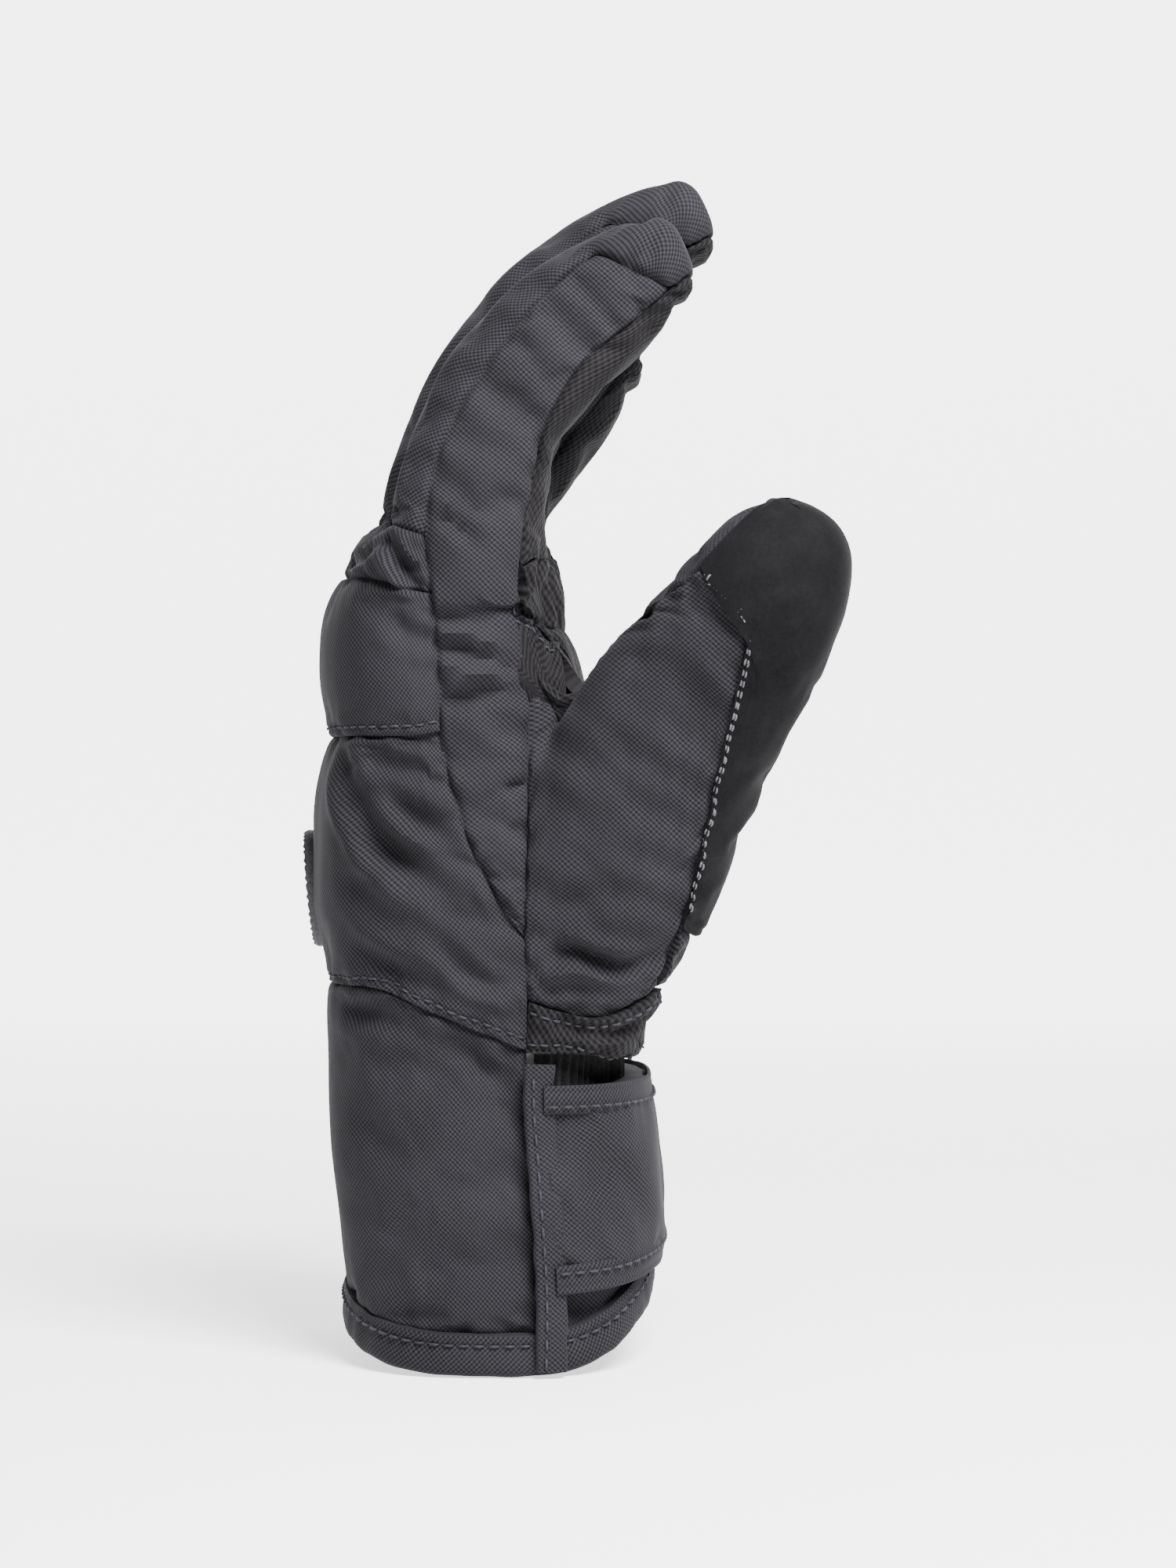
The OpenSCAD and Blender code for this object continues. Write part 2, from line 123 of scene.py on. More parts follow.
# root point, width, radius of the sewn curve, lean towards -Y, and depths by share of the length
fingerShapes = {
    "index": {"root": (-9.5, -38.2, 192), "width": 26.2, "radius": 88, "lean": 1.0},
    "middle": {"root": (-13.4, -12.1, 192), "width": 26.0, "radius": 105, "lean": 0.0},
    "ring": {"root": (-13.4, 13.4, 189), "width": 25.2, "radius": 112, "lean": -1.5, "tipAngle": 56.9},
    "little": {"root": (-11.0, 37.3, 183), "width": 22.8, "radius": 98, "lean": -4.0, "tipAngle": 53.1},
}
fingerForm = {
    "rootAngle": 8.0, "tipAngle": 64.0,
    "back": [(-0.4, 14.6), (0, 14.8), (0.33, 14.8), (0.44, 14.4), (0.58, 13.6), (0.73, 12.2), (0.83, 10.8),
             (0.93, 9.0), (1.0, 7.4), (1.2, 6.6)],
    "palm": [(-0.4, 18.0), (0, 18.0), (0.07, 17.8), (0.2, 16.4), (0.3, 15.5), (0.66, 15.6), (0.84, 13.8),
             (0.96, 11.4), (1.03, 9.8), (1.2, 9.0)],
    "corner": 7.0,     # rounding along the finger
    "tipCorner": 4.5,  # rounding round the blunt tip
    "tipAt": 3.0,      # how far the tip stands past the curve's end
}
backDepth, palmDepth = table(fingerForm["back"]), table(fingerForm["palm"])


def fingerLength(f):
    return f["radius"] * math.radians(f.get("tipAngle", fingerForm["tipAngle"]) - fingerForm["rootAngle"])


def toFinger(p, f):  # place along the finger's curve, offset towards its back, and sideways
    lean = math.radians(f["lean"])
    q = p - np.array(f["root"], float)
    side = q[..., 1] * math.cos(lean) + q[..., 2] * math.sin(lean)
    up = -q[..., 1] * math.sin(lean) + q[..., 2] * math.cos(lean)
    r, a0, a1 = f["radius"], math.radians(fingerForm["rootAngle"]), math.radians(f.get("tipAngle",
        fingerForm["tipAngle"]))
    x, z = q[..., 0] - r * math.cos(a0), up + r * math.sin(a0)
    angle = np.arctan2(z, -x)
    held = np.clip(angle, a0, a1)
    along = r * (held - a0)
    cx, cz = -r * np.cos(held), r * np.sin(held)
    along = along + (x - cx) * np.sin(held) + (z - cz) * np.cos(held)
    off = -(x - cx) * np.cos(held) + (z - cz) * np.sin(held)
    return along, off, side


def fromFinger(along, off, side, f):  # the other way round
    along, off, side = np.broadcast_arrays(np.asarray(along, float), np.asarray(off, float),
                                           np.asarray(side, float))
    lean = math.radians(f["lean"])
    r, a0, a1 = f["radius"], math.radians(fingerForm["rootAngle"]), math.radians(f.get("tipAngle",
        fingerForm["tipAngle"]))
    angle = along / r + a0
    held = np.clip(angle, a0, a1)
    spare = (angle - held) * r
    x = r * math.cos(a0) - (r + off) * np.cos(held) + spare * np.sin(held)
    up = (r + off) * np.sin(held) - r * math.sin(a0) + spare * np.cos(held)
    root = np.array(f["root"], float)
    return np.stack([root[0] + x, root[1] + side * math.cos(lean) - up * math.sin(lean),
                     root[2] + side * math.sin(lean) + up * math.cos(lean)], -1)


def fingerDistance(p, f):
    along, off, side = toFinger(p, f)
    share = along / fingerLength(f)
    back, palm = backDepth(share), palmDepth(share)
    r, tip = fingerForm["corner"], fingerForm["tipCorner"]
    u = np.abs(off - (back - palm) / 2) - (back + palm) / 2 + r
    v = np.abs(side) - f["width"] / 2 + r
    tube = np.hypot(np.maximum(u, 0), np.maximum(v, 0)) + np.minimum(np.maximum(u, v), 0) - r
    end = along - fingerLength(f) - fingerForm["tipAt"]
    capped = np.hypot(np.maximum(tube + tip, 0), np.maximum(end + tip,
        0)) + np.minimum(np.maximum(tube + tip, end + tip), 0) - tip
    return np.maximum(capped, -along - 12)


thumbShape = {
    "axis": [(14, -29, 78), (20, -32.5, 97), (27.5, -36.5, 117), (37, -43, 141), (48.5, -50, 160),
             (60, -57.5, 177.5), (72, -65.5, 196)],
    # half width by length
    "wide": [(0, 17), (20, 20), (42, 23.5), (65, 23.5), (88, 21.5), (112, 18.5), (130, 16.5), (150, 15.5)],
    # half thickness
    "thick": [(0, 14), (20, 15), (42, 16), (65, 16), (88, 15.5), (112, 15), (130, 13.5), (150, 13)],
    "round": 26.0,   # length of the rounded tip
    "power": 2.4,
}
thumbLine = smoothLine(thumbShape["axis"], 160)
thumbRun = np.concatenate([[0], np.cumsum(np.linalg.norm(np.diff(thumbLine, axis=0), axis=1))])
thumbAlong = np.gradient(thumbLine, axis=0)
thumbAlong /= np.linalg.norm(thumbAlong, axis=1)[:, None]
thumbFace = np.array([0, -1.0, 0]) - thumbAlong * (thumbAlong @ np.array([0, -1.0, 0]))[:, None]
thumbFace /= np.linalg.norm(thumbFace, axis=1)[:, None]  # towards -Y
thumbOut = np.cross(thumbFace, thumbAlong)  # towards the thumb's outer edge
if thumbOut[80, 0] < 0:
    thumbOut = -thumbOut
thumbWide, thumbThick = table(thumbShape["wide"]), table(thumbShape["thick"])


def toThumb(p):
    flat = p.reshape(-1, 3)
    coarse = thumbLine[::4]
    near = np.argmin(((flat[:, None] - coarse[None]) ** 2).sum(-1), 1) * 4
    near = np.minimum(near, len(thumbLine) - 1)
    q = flat - thumbLine[near]
    step = (q * thumbAlong[near]).sum(1)
    at = thumbRun[near] + step
    index = np.interp(at, thumbRun, np.arange(len(thumbRun)))
    low = np.floor(index).astype(int)
    high = np.minimum(low + 1, len(thumbRun) - 1)
    w = (index - low)[:, None]
    mix = lambda field: field[low] * (1 - w) + field[high] * w
    past = np.maximum(at - thumbRun[-1], 0)[:, None] * thumbAlong[-1]
    before = np.minimum(at, 0)[:, None] * thumbAlong[0]
    q = flat - mix(thumbLine) - past - before
    shape = p.shape[:-1]
    return at.reshape(shape), (q * mix(thumbOut)).sum(1).reshape(shape), (q
        * mix(thumbFace)).sum(1).reshape(shape)


def fromThumb(along, angle, grow=1.0):  # angle 0 faces -Y, 90 the outer edge, -90 the fingers
    along, angle = np.broadcast_arrays(np.asarray(along, float), np.asarray(angle, float))
    turn = np.radians(angle)
    e = 2 / thumbShape["power"]
    mix = lambda field: np.stack([np.interp(along, thumbRun, field[:, k]) for k in range(3)], -1)
    a, b = thumbWide(along), thumbThick(along)
    start = thumbRun[-1] - thumbShape["round"]
    cap = (1 - np.clip((along - start) / thumbShape["round"], 0,
                       1) ** thumbShape["power"]) ** (1 / thumbShape["power"])
    cap = np.maximum(cap, 0.001)
    return mix(thumbLine) + (grow * cap * a * signedPower(np.sin(turn), e))[..., None] * mix(thumbOut) \
        + (grow * cap * b * signedPower(np.cos(turn), e))[..., None] * mix(thumbFace)


def thumbDistance(p):
    along, x, y = toThumb(p)
    n = thumbShape["power"]
    start = thumbRun[-1] - thumbShape["round"]
    a, b = thumbWide(along), thumbThick(along)
    u, v = np.abs(x) / a + 1e-9, np.abs(y) / b + 1e-9
    w = np.maximum(along - start, 0) / thumbShape["round"] + 1e-9
    level = (u ** n + v ** n + w ** n) ** (1 / n)
    slope = level ** (1 - n) * np.sqrt((u ** (n - 1) / a) ** 2 + (v ** (n - 1) / b) ** 2
                                       + (w ** (n - 1) / thumbShape["round"]) ** 2)
    return (level - 1) / slope


def softUnion(a, b, k):  # the smaller of two distances, with a fillet about k wide
    h = np.maximum(k - np.abs(a - b), 0) / k
    return np.minimum(a, b) - h * h * k / 4


def gloveField(fingers=("index", "middle", "ring", "little"), thumb=True):
    def field(p):
        d = handDistance(p)
        if fingers:
            near = fingerDistance(p, fingerShapes[fingers[0]])
            for name in fingers[1:]:
                near = softUnion(near, fingerDistance(p, fingerShapes[name]), 1.0)
            d = softUnion(d, near, 6.0)
        if thumb:
            close = p[..., 2] > 60
            if close.any():
                t = np.full(d.shape, 99.0)
                t[close] = thumbDistance(p[close])
                d = softUnion(d, t, 5.0)
        return d
    return field


def gradient(field, p, h=0.35):
    corners = np.array([(1, -1, -1), (-1, -1, 1), (-1, 1, -1), (1, 1, 1)], float)
    return sum(c * field(p + c * h)[..., None] for c in corners) / (4 * h)


def toSkin(p, field, steps=9):  # moves each point to the nearest place on the skin: p - f * slope / |slope|^2
    p = np.array(p, float)
    for _ in range(steps):
        g = gradient(field, p)
        move = field(p)[..., None] * g / np.maximum((g * g).sum(-1, keepdims=True), 0.15)
        size = np.linalg.norm(move, axis=-1, keepdims=True)
        p = p - move * np.minimum(1, 6 / np.maximum(size, 1e-9))
    return p


def seamOnSide(xz, count, field, steps=70):
    # a seam given by x and height, laid on the skin from the thumb side
    line = smoothLine(xz, count)
    p = np.stack([line[:, 0], np.full(count, -96.0), line[:, 1]], 1)
    best, keep = np.full(count, 1e9), p[:, 1].copy()
    for _ in range(steps):
        d = field(p)
        keep, best = np.where(d < best, p[:, 1], keep), np.minimum(d, best)
        p[:, 1] += np.where(best < 0.05, 0, 0.6 * np.maximum(np.abs(d), 0.1))
    p[:, 1] = keep  # where a line of sight misses the skin, the place that came nearest to it
    return toSkin(p, field, 7)


whole = gloveField()
print("field ready")


# panels
def resample(grid, rows, cols):  # Catmull-Rom through the grid's points, first down and then across
    def down(g, count):
        t = np.linspace(0, 1, count) if np.ndim(count) == 0 else count
        t = t * (len(g) - 1)
        i = np.minimum(t.astype(int), len(g) - 2)
        f = (t - i)[:, None, None]
        q = np.concatenate([2 * g[:1] - g[1:2], g, 2 * g[-1:] - g[-2:-1]])
        a, b, c, d = q[i], q[i + 1], q[i + 2], q[i + 3]
        return 0.5 * (2 * b + (c - a) * f + (2 * a - 5 * b + 4 * c - d) * f ** 2 + (3 * b - a - 3 * c + d)
                      * f ** 3)
    return down(down(grid, rows).swapaxes(0, 1), cols).swapaxes(0, 1)


def patch(curves, rows, cols, field, steps=8):  # a skin through curves that lie side by side
    ends = [np.asarray(c, float) for c in curves]
    lines = np.stack([c if len(c) == rows else smoothLine(c, rows) for c in ends], 1)
    grid = resample(lines, rows, cols)
    inner = toSkin(grid, field, steps)
    inner[:, 0], inner[:, -1] = lines[:, 0], lines[:, -1]
    return inner


def faceSigns(grid, field):  # +1 where rows x columns already turn outwards
    n = np.cross(np.gradient(grid, axis=0), np.gradient(grid, axis=1))
    r, c = grid.shape[0] // 2, grid.shape[1] // 2
    return 1.0 if (n[r, c] * gradient(field, grid[r, c])).sum() > 0 else -1.0


def normalsOf(grid, sign):
    n = np.cross(np.gradient(grid, axis=0), np.gradient(grid, axis=1)) * sign
    return n / np.maximum(np.linalg.norm(n, axis=2, keepdims=True), 1e-9)


def edgeDistances(grid):
    across = np.cumsum(np.linalg.norm(np.diff(grid, axis=1, prepend=grid[:, :1]), axis=2), axis=1)
    down = np.cumsum(np.linalg.norm(np.diff(grid, axis=0, prepend=grid[:1]), axis=2), axis=0)
    return across, down, {"first": across, "last": across[:, -1:] - across, "start": down,
                          "end": down[-1:] - down}


def wander(x, seed, period):  # a smooth uneven wave, about one swing to each period
    r = np.random.default_rng(seed)
    return sum(np.sin(x * 2 * np.pi / (period * r.uniform(0.6, 1.6)) + r.uniform(0, 6.3))
               for _ in range(3)) / 1.7


def softNoise(p, size, seed):
    r = np.random.default_rng(seed)
    total = 0
    for _ in range(7):
        k = r.normal(size=3)
        k *= 2 * np.pi / (size * r.uniform(0.7, 1.5)) / np.linalg.norm(k)
        total = total + np.sin(p @ k + r.uniform(0, 6.3))
    return total / 2.6


clothFeel = {
    "spacing": 2.4,    # grid step in the simulation
    "scale": 0.01,     # the simulation works in a tenth of a metre
    "frames": 16, "tension": 12.0, "bending": 0.35, "mass": 0.12,
}


def relax(grid, sign, slack, pressure, cap):
    # cloth held along its seams and cut a little too big for them, so it buckles as it does on the glove
    across, down, _ = edgeDistances(grid)
    rows = max(6, int(down[-1].max() / clothFeel["spacing"]))
    cols = max(6, int(across[:, -1].max() / clothFeel["spacing"]))
    coarse = resample(grid, rows, cols)
    start = coarse + normalsOf(coarse, sign) * (0.15 * softNoise(coarse, 12, rows * cols))[..., None]
    mesh = bpy.data.meshes.new("drape")
    mesh.from_pydata((start.reshape(-1, 3) * clothFeel["scale"]).tolist(), [],
                     quadFaces(rows, cols, sign > 0).tolist())
    cloth = bpy.data.objects.new("drape", mesh)
    bpy.context.scene.collection.objects.link(cloth)
    edge = np.zeros((rows, cols), bool)
    edge[0], edge[-1], edge[:, 0], edge[:, -1] = True, True, True, True
    pins = cloth.vertex_groups.new(name="pins")
    pins.add([int(i) for i in np.flatnonzero(edge.ravel())], 1.0, "REPLACE")
    drape = cloth.modifiers.new("drape", "CLOTH")
    s = drape.settings
    s.quality, s.mass, s.air_damping = 5, clothFeel["mass"], 2.0
    s.tension_stiffness = s.compression_stiffness = clothFeel["tension"]
    s.shear_stiffness, s.bending_stiffness = clothFeel["tension"] * 0.4, clothFeel["bending"]
    s.vertex_group_mass, s.shrink_min = "pins", -slack
    s.use_pressure, s.uniform_pressure_force = pressure != 0, pressure
    s.effector_weights.gravity = 0.0
    drape.collision_settings.use_collision = False
    drape.point_cache.frame_end = clothFeel["frames"]
    scene = bpy.context.scene
    for f in range(1, clothFeel["frames"] + 1):
        scene.frame_set(f)
    baked = cloth.evaluated_get(bpy.context.evaluated_depsgraph_get()).to_mesh()
    at = np.empty(rows * cols * 3)
    baked.vertices.foreach_get("co", at)
    moved = at.reshape(rows, cols, 3) / clothFeel["scale"] - coarse
    moved[edge] = 0
    bpy.data.objects.remove(cloth)
    bpy.data.meshes.remove(mesh)
    scene.frame_set(1)
    size = np.linalg.norm(moved, axis=2, keepdims=True)
    moved *= cap * np.tanh(size / cap) / np.maximum(size, 1e-9)
    return resample(moved, *grid.shape[:2])


def quadFaces(rows, cols, forward=True, wrapCols=False, wrapRows=False):
    r, c = np.meshgrid(np.arange(rows if wrapRows else rows - 1), np.arange(cols if wrapCols else cols - 1),
                       indexing="ij")
    at = lambda i, j: (i % rows) * cols + j % cols
    faces = np.stack([at(r, c), at(r + 1, c), at(r + 1, c + 1), at(r, c + 1)], -1).reshape(-1, 4)
    return faces if forward else faces[:, ::-1]


def addMesh(name, points, faces, uv=None, sharp=40):
    mesh = bpy.data.meshes.new(name)
    mesh.from_pydata((np.asarray(points) * 0.001).tolist(), [], [list(map(int, f)) for f in faces])
    mesh.update()
    mesh.polygons.foreach_set("use_smooth", np.ones(len(mesh.polygons), bool))
    if uv is not None:
        layer = mesh.uv_layers.new(name="cloth")  # millimetres along and across the cloth
        corners = np.empty(len(mesh.loops), int)
        mesh.loops.foreach_get("vertex_index", corners)
        layer.data.foreach_set("uv", np.asarray(uv)[corners].astype(np.float32).ravel())
    mesh.set_sharp_from_angle(angle=math.radians(sharp))
    piece = bpy.data.objects.new(name, mesh)
    bpy.context.scene.collection.objects.link(piece)
    return piece


# the grid, a second one inside it, and the rims
def closedShell(name, outer, inward, thickness, uv, sharp=40, flip=False):
    rows, cols = outer.shape[:2]
    inner = outer - inward * np.broadcast_to(thickness, outer.shape[:2])[..., None]
    count = rows * cols
    points = np.concatenate([outer.reshape(-1, 3), inner.reshape(-1, 3)])
    front = quadFaces(rows, cols, not flip)
    index = np.arange(count).reshape(rows, cols)
    loop = np.concatenate([index[0, :-1], index[:-1, -1], index[-1, :0:-1], index[:0:-1, 0]])
    after = np.roll(loop, -1)
    rim = np.stack([loop, after, after + count, loop + count], -1)
    if flip:
        rim = rim[:, ::-1]
    faces = np.concatenate([front, front[:, ::-1] + count, rim])
    return addMesh(name, points, faces, np.concatenate([uv, uv]), sharp)


# what each piece rides on: pieces on the hand, flap or thumb are hung from that body; every other piece stays
# fixed where it is
def mm(point):
    return tuple(float(v) * 0.001 for v in point)


def alongFinger(f, s):  # the finger's direction at a place on its curve
    a = fromFinger(s - 0.5, 0, 0, f)
    b = fromFinger(s + 0.5, 0, 0, f)
    return (b - a) / np.linalg.norm(b - a)


pipShare = 0.52
splitAt = {name: fingerLength(f) * 0.315 for name, f in fingerShapes.items()}


def attach(piece, rides):
    if rides in ("hand", "flap", "thumb"):
        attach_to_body(piece, rides)
    elif rides == "thumbRoot":
        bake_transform(piece)
    elif rides == "flapSide":
        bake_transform(piece)
    else:
        name, part = rides.split(".")
        f = fingerShapes[name]
        length = fingerLength(f)
        if part == "base":
            a = fromFinger(0, 0, 0, f)
            mm(a + alongFinger(f, 2) * 0.26 * length)
            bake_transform(piece)
        else:
            mid = fromFinger(pipShare * length, 0, 0, f)
            way = alongFinger(f, pipShare * length)
            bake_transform(piece)


surfaces, stitchHeap, folds = {}, {}, []


def foldRelief(p):  # raised creases with a shallow trough on each side, fading at both ends
    out = np.zeros(p.shape[:-1])
    for line, height, width in folds:
        line = smoothLine(line, 24)
        a, b = line[:-1], line[1:]
        ab = b - a
        q = p[..., None, :] - a
        t = np.clip((q * ab).sum(-1) / (ab * ab).sum(-1), 0, 1)
        gap = np.linalg.norm(q - t[..., None] * ab, axis=-1)
        near = gap.argmin(-1)
        d = gap.min(-1)
        share = (near + np.take_along_axis(t, near[..., None], -1)[..., 0]) / len(a)
        fade = np.sin(np.pi * np.clip(share, 0.02, 0.98)) ** 0.6
        out += height * fade * (np.exp(-(d / width) ** 2) - 0.45
                                * np.exp(-((d - 1.9 * width) / (0.8 * width)) ** 2))
    return out


def dress(grid, sign, look):  # seams, turned edges, puckers and the swell of the padding
    across, down, dist = edgeDistances(grid)
    out = np.zeros(grid.shape[:2])
    near = np.full(grid.shape[:2], 30.0)
    for side, style in look.get("edges", {}).items():
        d = dist[side]
        run = down if side in ("first", "last") else across
        seed = look.get("seed", 1) * 10 + len(side) + ord(side[0])
        ripple = wander(run, seed, look.get("puckerStep", 6.0)) * np.exp(-d / 3.6) * (1 - np.exp(-d / 1.0))
        if style == "seam":
            out += (-look.get("groove", 0.9) * np.exp(-(d / 0.9) ** 2) - 0.3 * np.exp(-(d / 3) ** 2)
                    + look.get("pucker", 0.28) * ripple)
            near = np.minimum(near, d)
        elif style == "over":
            out += 0.5 * np.exp(-(d / 4.5) ** 4) - 0.35 * np.exp(-((d
                - 2.2) / 0.7) ** 2) + look.get("pucker", 0.28) * 0.7 * ripple
            near = np.minimum(near, d)
        elif style == "under":
            out += -0.8 * np.exp(-(d / 1.4) ** 2) + look.get("pucker", 0.28) * ripple
            near = np.minimum(near, d)
    out += look.get("crown", 0.5) * (1 - np.exp(-(near / 5.5) ** 1.3))
    out += look.get("uneven", 0.35) * softNoise(grid, look.get("unevenSize", 22),
                                                look.get("seed", 1)) * (1 - np.exp(-near / 5))
    return out


# the cut laid flat: its least rectangle, and how far its threads had to give
def flatCut(grid, samples=11, rounds=1500):
    pick = [np.unique(np.linspace(0, n - 1, min(n, samples)).round().astype(int)) for n in grid.shape[:2]]
    cloth = grid[np.ix_(*pick)]
    h, w = cloth.shape[:2]
    p = cloth.reshape(-1, 3)
    i, j = np.divmod(np.arange(h * w), w)
    apart = np.maximum(abs(i[:, None] - i), abs(j[:, None] - j))
    gap = np.linalg.norm(p[:, None] - p[None], axis=2)
    far = np.where(apart <= 2, gap, np.inf)
    for k in range(h * w):  # lengths over the cloth between every two points
        far = np.minimum(far, far[:, k:k + 1] + far[k:k + 1])
    centre = np.eye(h * w) - 1 / (h * w)
    values, vectors = np.linalg.eigh(-0.5 * centre @ far ** 2 @ centre)
    flat = vectors[:, -2:] * np.sqrt(values[-2:])
    a, b = np.nonzero(apart == 1)
    rest = gap[a, b]
    share = 1.0 / np.bincount(a, minlength=h * w)
    for _ in range(rounds):  # eased until neighbours are their own length apart
        d = flat[b] - flat[a]
        push = d * (1 - rest / np.maximum(np.linalg.norm(d, axis=1), 1e-9))[:, None]
        flat = flat + 0.9 * share[:, None] * np.stack([np.bincount(a, push[:, c], h * w) for c in (0, 1)], 1)
    give = np.linalg.norm(np.linalg.norm(flat[b] - flat[a], axis=1) - rest) / np.linalg.norm(rest)
    sizes = []
    for turn in np.radians(np.arange(0, 90)):
        c, q = math.cos(turn), math.sin(turn)
        sizes.append(np.sort(np.ptp(flat @ np.array([[c, -q], [q, c]]), axis=0)))
    return min(sizes, key=np.prod), give


def panel(name, grid, field, look):
    # a cloth panel: simulated slack, then relief, then a closed shell split where its finger's bodies meet
    share = [np.linspace(0, 1, int(n * look.get("finer", 1.25))) for n in grid.shape[:2]]
    # closer rows and columns at the seams
    share = [t - 0.62 * np.sin(2 * np.pi * t) / (2 * np.pi) for t in share]
    if "splitRow" in look:
        look["splitRow"] = int(np.argmin(np.abs(share[0] - look["splitRow"] / (len(grid) - 1))))
    grid = resample(grid, *share)
    sign = faceSigns(grid, field)
    flat = grid
    if look.get("slack", 0):
        moved = relax(grid, sign, look["slack"], look.get("pressure", 0.0), look.get("cap", 1.6))
        grid = grid + moved
    way = gradient(field, flat)  # neighbours share these directions, so their edges meet in the groove
    way /= np.maximum(np.linalg.norm(way, axis=2, keepdims=True), 1e-6)
    lift = dress(flat, sign, look) + look.get("off", 0.0)
    if look.get("folds", True):
        lift = lift + foldRelief(flat)
    outer = grid + way * lift[..., None]
    n = normalsOf(outer, sign)
    across, down, _ = edgeDistances(flat)
    middle = across[:, across.shape[1] // 2][:, None]
    uv = np.stack([across - middle + 100, down.mean(1, keepdims=True) + 0 * across], -1).reshape(-1, 2)
    if look.get("cut") == "flat":  # a panel that faces one way takes its weave straight from the cloth
        uv = flat[..., [0, 2]].reshape(-1, 2)
    elif look.get("cut") == "round":  # one that goes round the hand: 44 mm times its turn, by height
        a, b, cx, cy = handSection(flat[..., 2])
        turn = np.unwrap(np.arctan2((flat[..., 1] - cy) / b, (flat[..., 0] - cx) / a), axis=1)
        turn = turn - 2 * np.pi * np.round((turn[:, :1] - turn[:1, :1]) / (2 * np.pi))
        uv = np.stack([turn * 44, flat[..., 2]], -1).reshape(-1, 2)
    surfaces[name] = (outer, n, down, across)
    made = []
    thickness = look.get("thickness", 1.7)
    if look.get("edges"):  # the seam allowance turned in along each sewn edge
        gap = np.minimum.reduce([d for side, d in edgeDistances(flat)[2].items()
                                 if look["edges"].get(side, "none") != "none"]
                                 + [np.full(flat.shape[:2], 30.0)])
        thickness = thickness + 2.0 * np.exp(-(gap / 1.2) ** 2)
    parts = [(name, 0, len(grid), look["rides"])]
    if "splitRow" in look:
        k = look["splitRow"]
        parts = [(name + "Base", 0, k + 1, look["rides"] + ".base"),
                 (name + "End", k, len(grid), look["rides"] + ".end")]
        if look.get("tipFirst"):
            parts = [(name + "End", 0, k + 1, look["rides"] + ".end"),
                     (name + "Base", k, len(grid), look["rides"] + ".base")]
    for label, a, b, rides in parts:
        part = slice(a, b)
        rows = b - a
        depth = thickness[part] if np.ndim(thickness) else thickness
        piece = closedShell(label, outer[part], way[part] if look.get("edges") else n[part], depth,
                            uv.reshape(*outer.shape[:2], 2)[part].reshape(-1, 2), flip=sign < 0)
        attach(piece, rides)
        nodes = look["replaces"] if isinstance(look["replaces"],
                                               list) else look["replaces"][rides.split(".")[-1]]
        if nodes:
            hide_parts(*nodes)
        piece.data.materials.append(materials[look.get("material", "shell")])
        cut = np.linalg.norm(np.cross(np.diff(grid[part], axis=0)[:, :-1], np.diff(grid[part], axis=1)[:-1]),
                             axis=2).sum()
        size, give = flatCut(grid[part])
        # its gathers are finer than the samples, so its length is read along the cloth
        if look.get("held") == "gathered":
            size = np.sort([across[part, -1].max(), (down[b - 1] - down[a]).max()])
        rim = sum(np.linalg.norm(np.diff(edge, axis=0), axis=1).sum()
                  for edge in (grid[a], grid[b - 1], grid[part, 0], grid[part, -1]))
        # cut that much bigger all round, and turned in at the seams
        allowance = 3.0 if look.get("edges") else 1.0
        cut = (cut + rim * allowance) * 1e-6
        made.append(piece)
    return made


# a line on the finished panel, a set distance in from one edge
def lineOnPanel(name, side, inset, start=0.0, end=1.0):
    outer, n, down, across = surfaces[name]
    if side in ("start", "end"):
        outer, n = outer.swapaxes(0, 1), n.swapaxes(0, 1)
        d = down.T if side == "start" else (down[-1:] - down).T
    else:
        d = across if side == "first" else across[:, -1:] - across
    if side in ("last", "end"):
        d, outer, n = d[:, ::-1], outer[:, ::-1], n[:, ::-1]
    at = np.array([np.interp(inset, d[i], np.arange(d.shape[1])) for i in range(len(d))])
    i = np.minimum(at.astype(int), d.shape[1] - 2)
    f = (at - i)[:, None]
    r = np.arange(len(d))
    line = outer[r, i] * (1 - f) + outer[r, i + 1] * f
    up = n[r, i] * (1 - f) + n[r, i + 1] * f
    a, b = int(start * (len(d) - 1)), int(end * (len(d) - 1)) + 1
    return line[a:b], up[a:b]


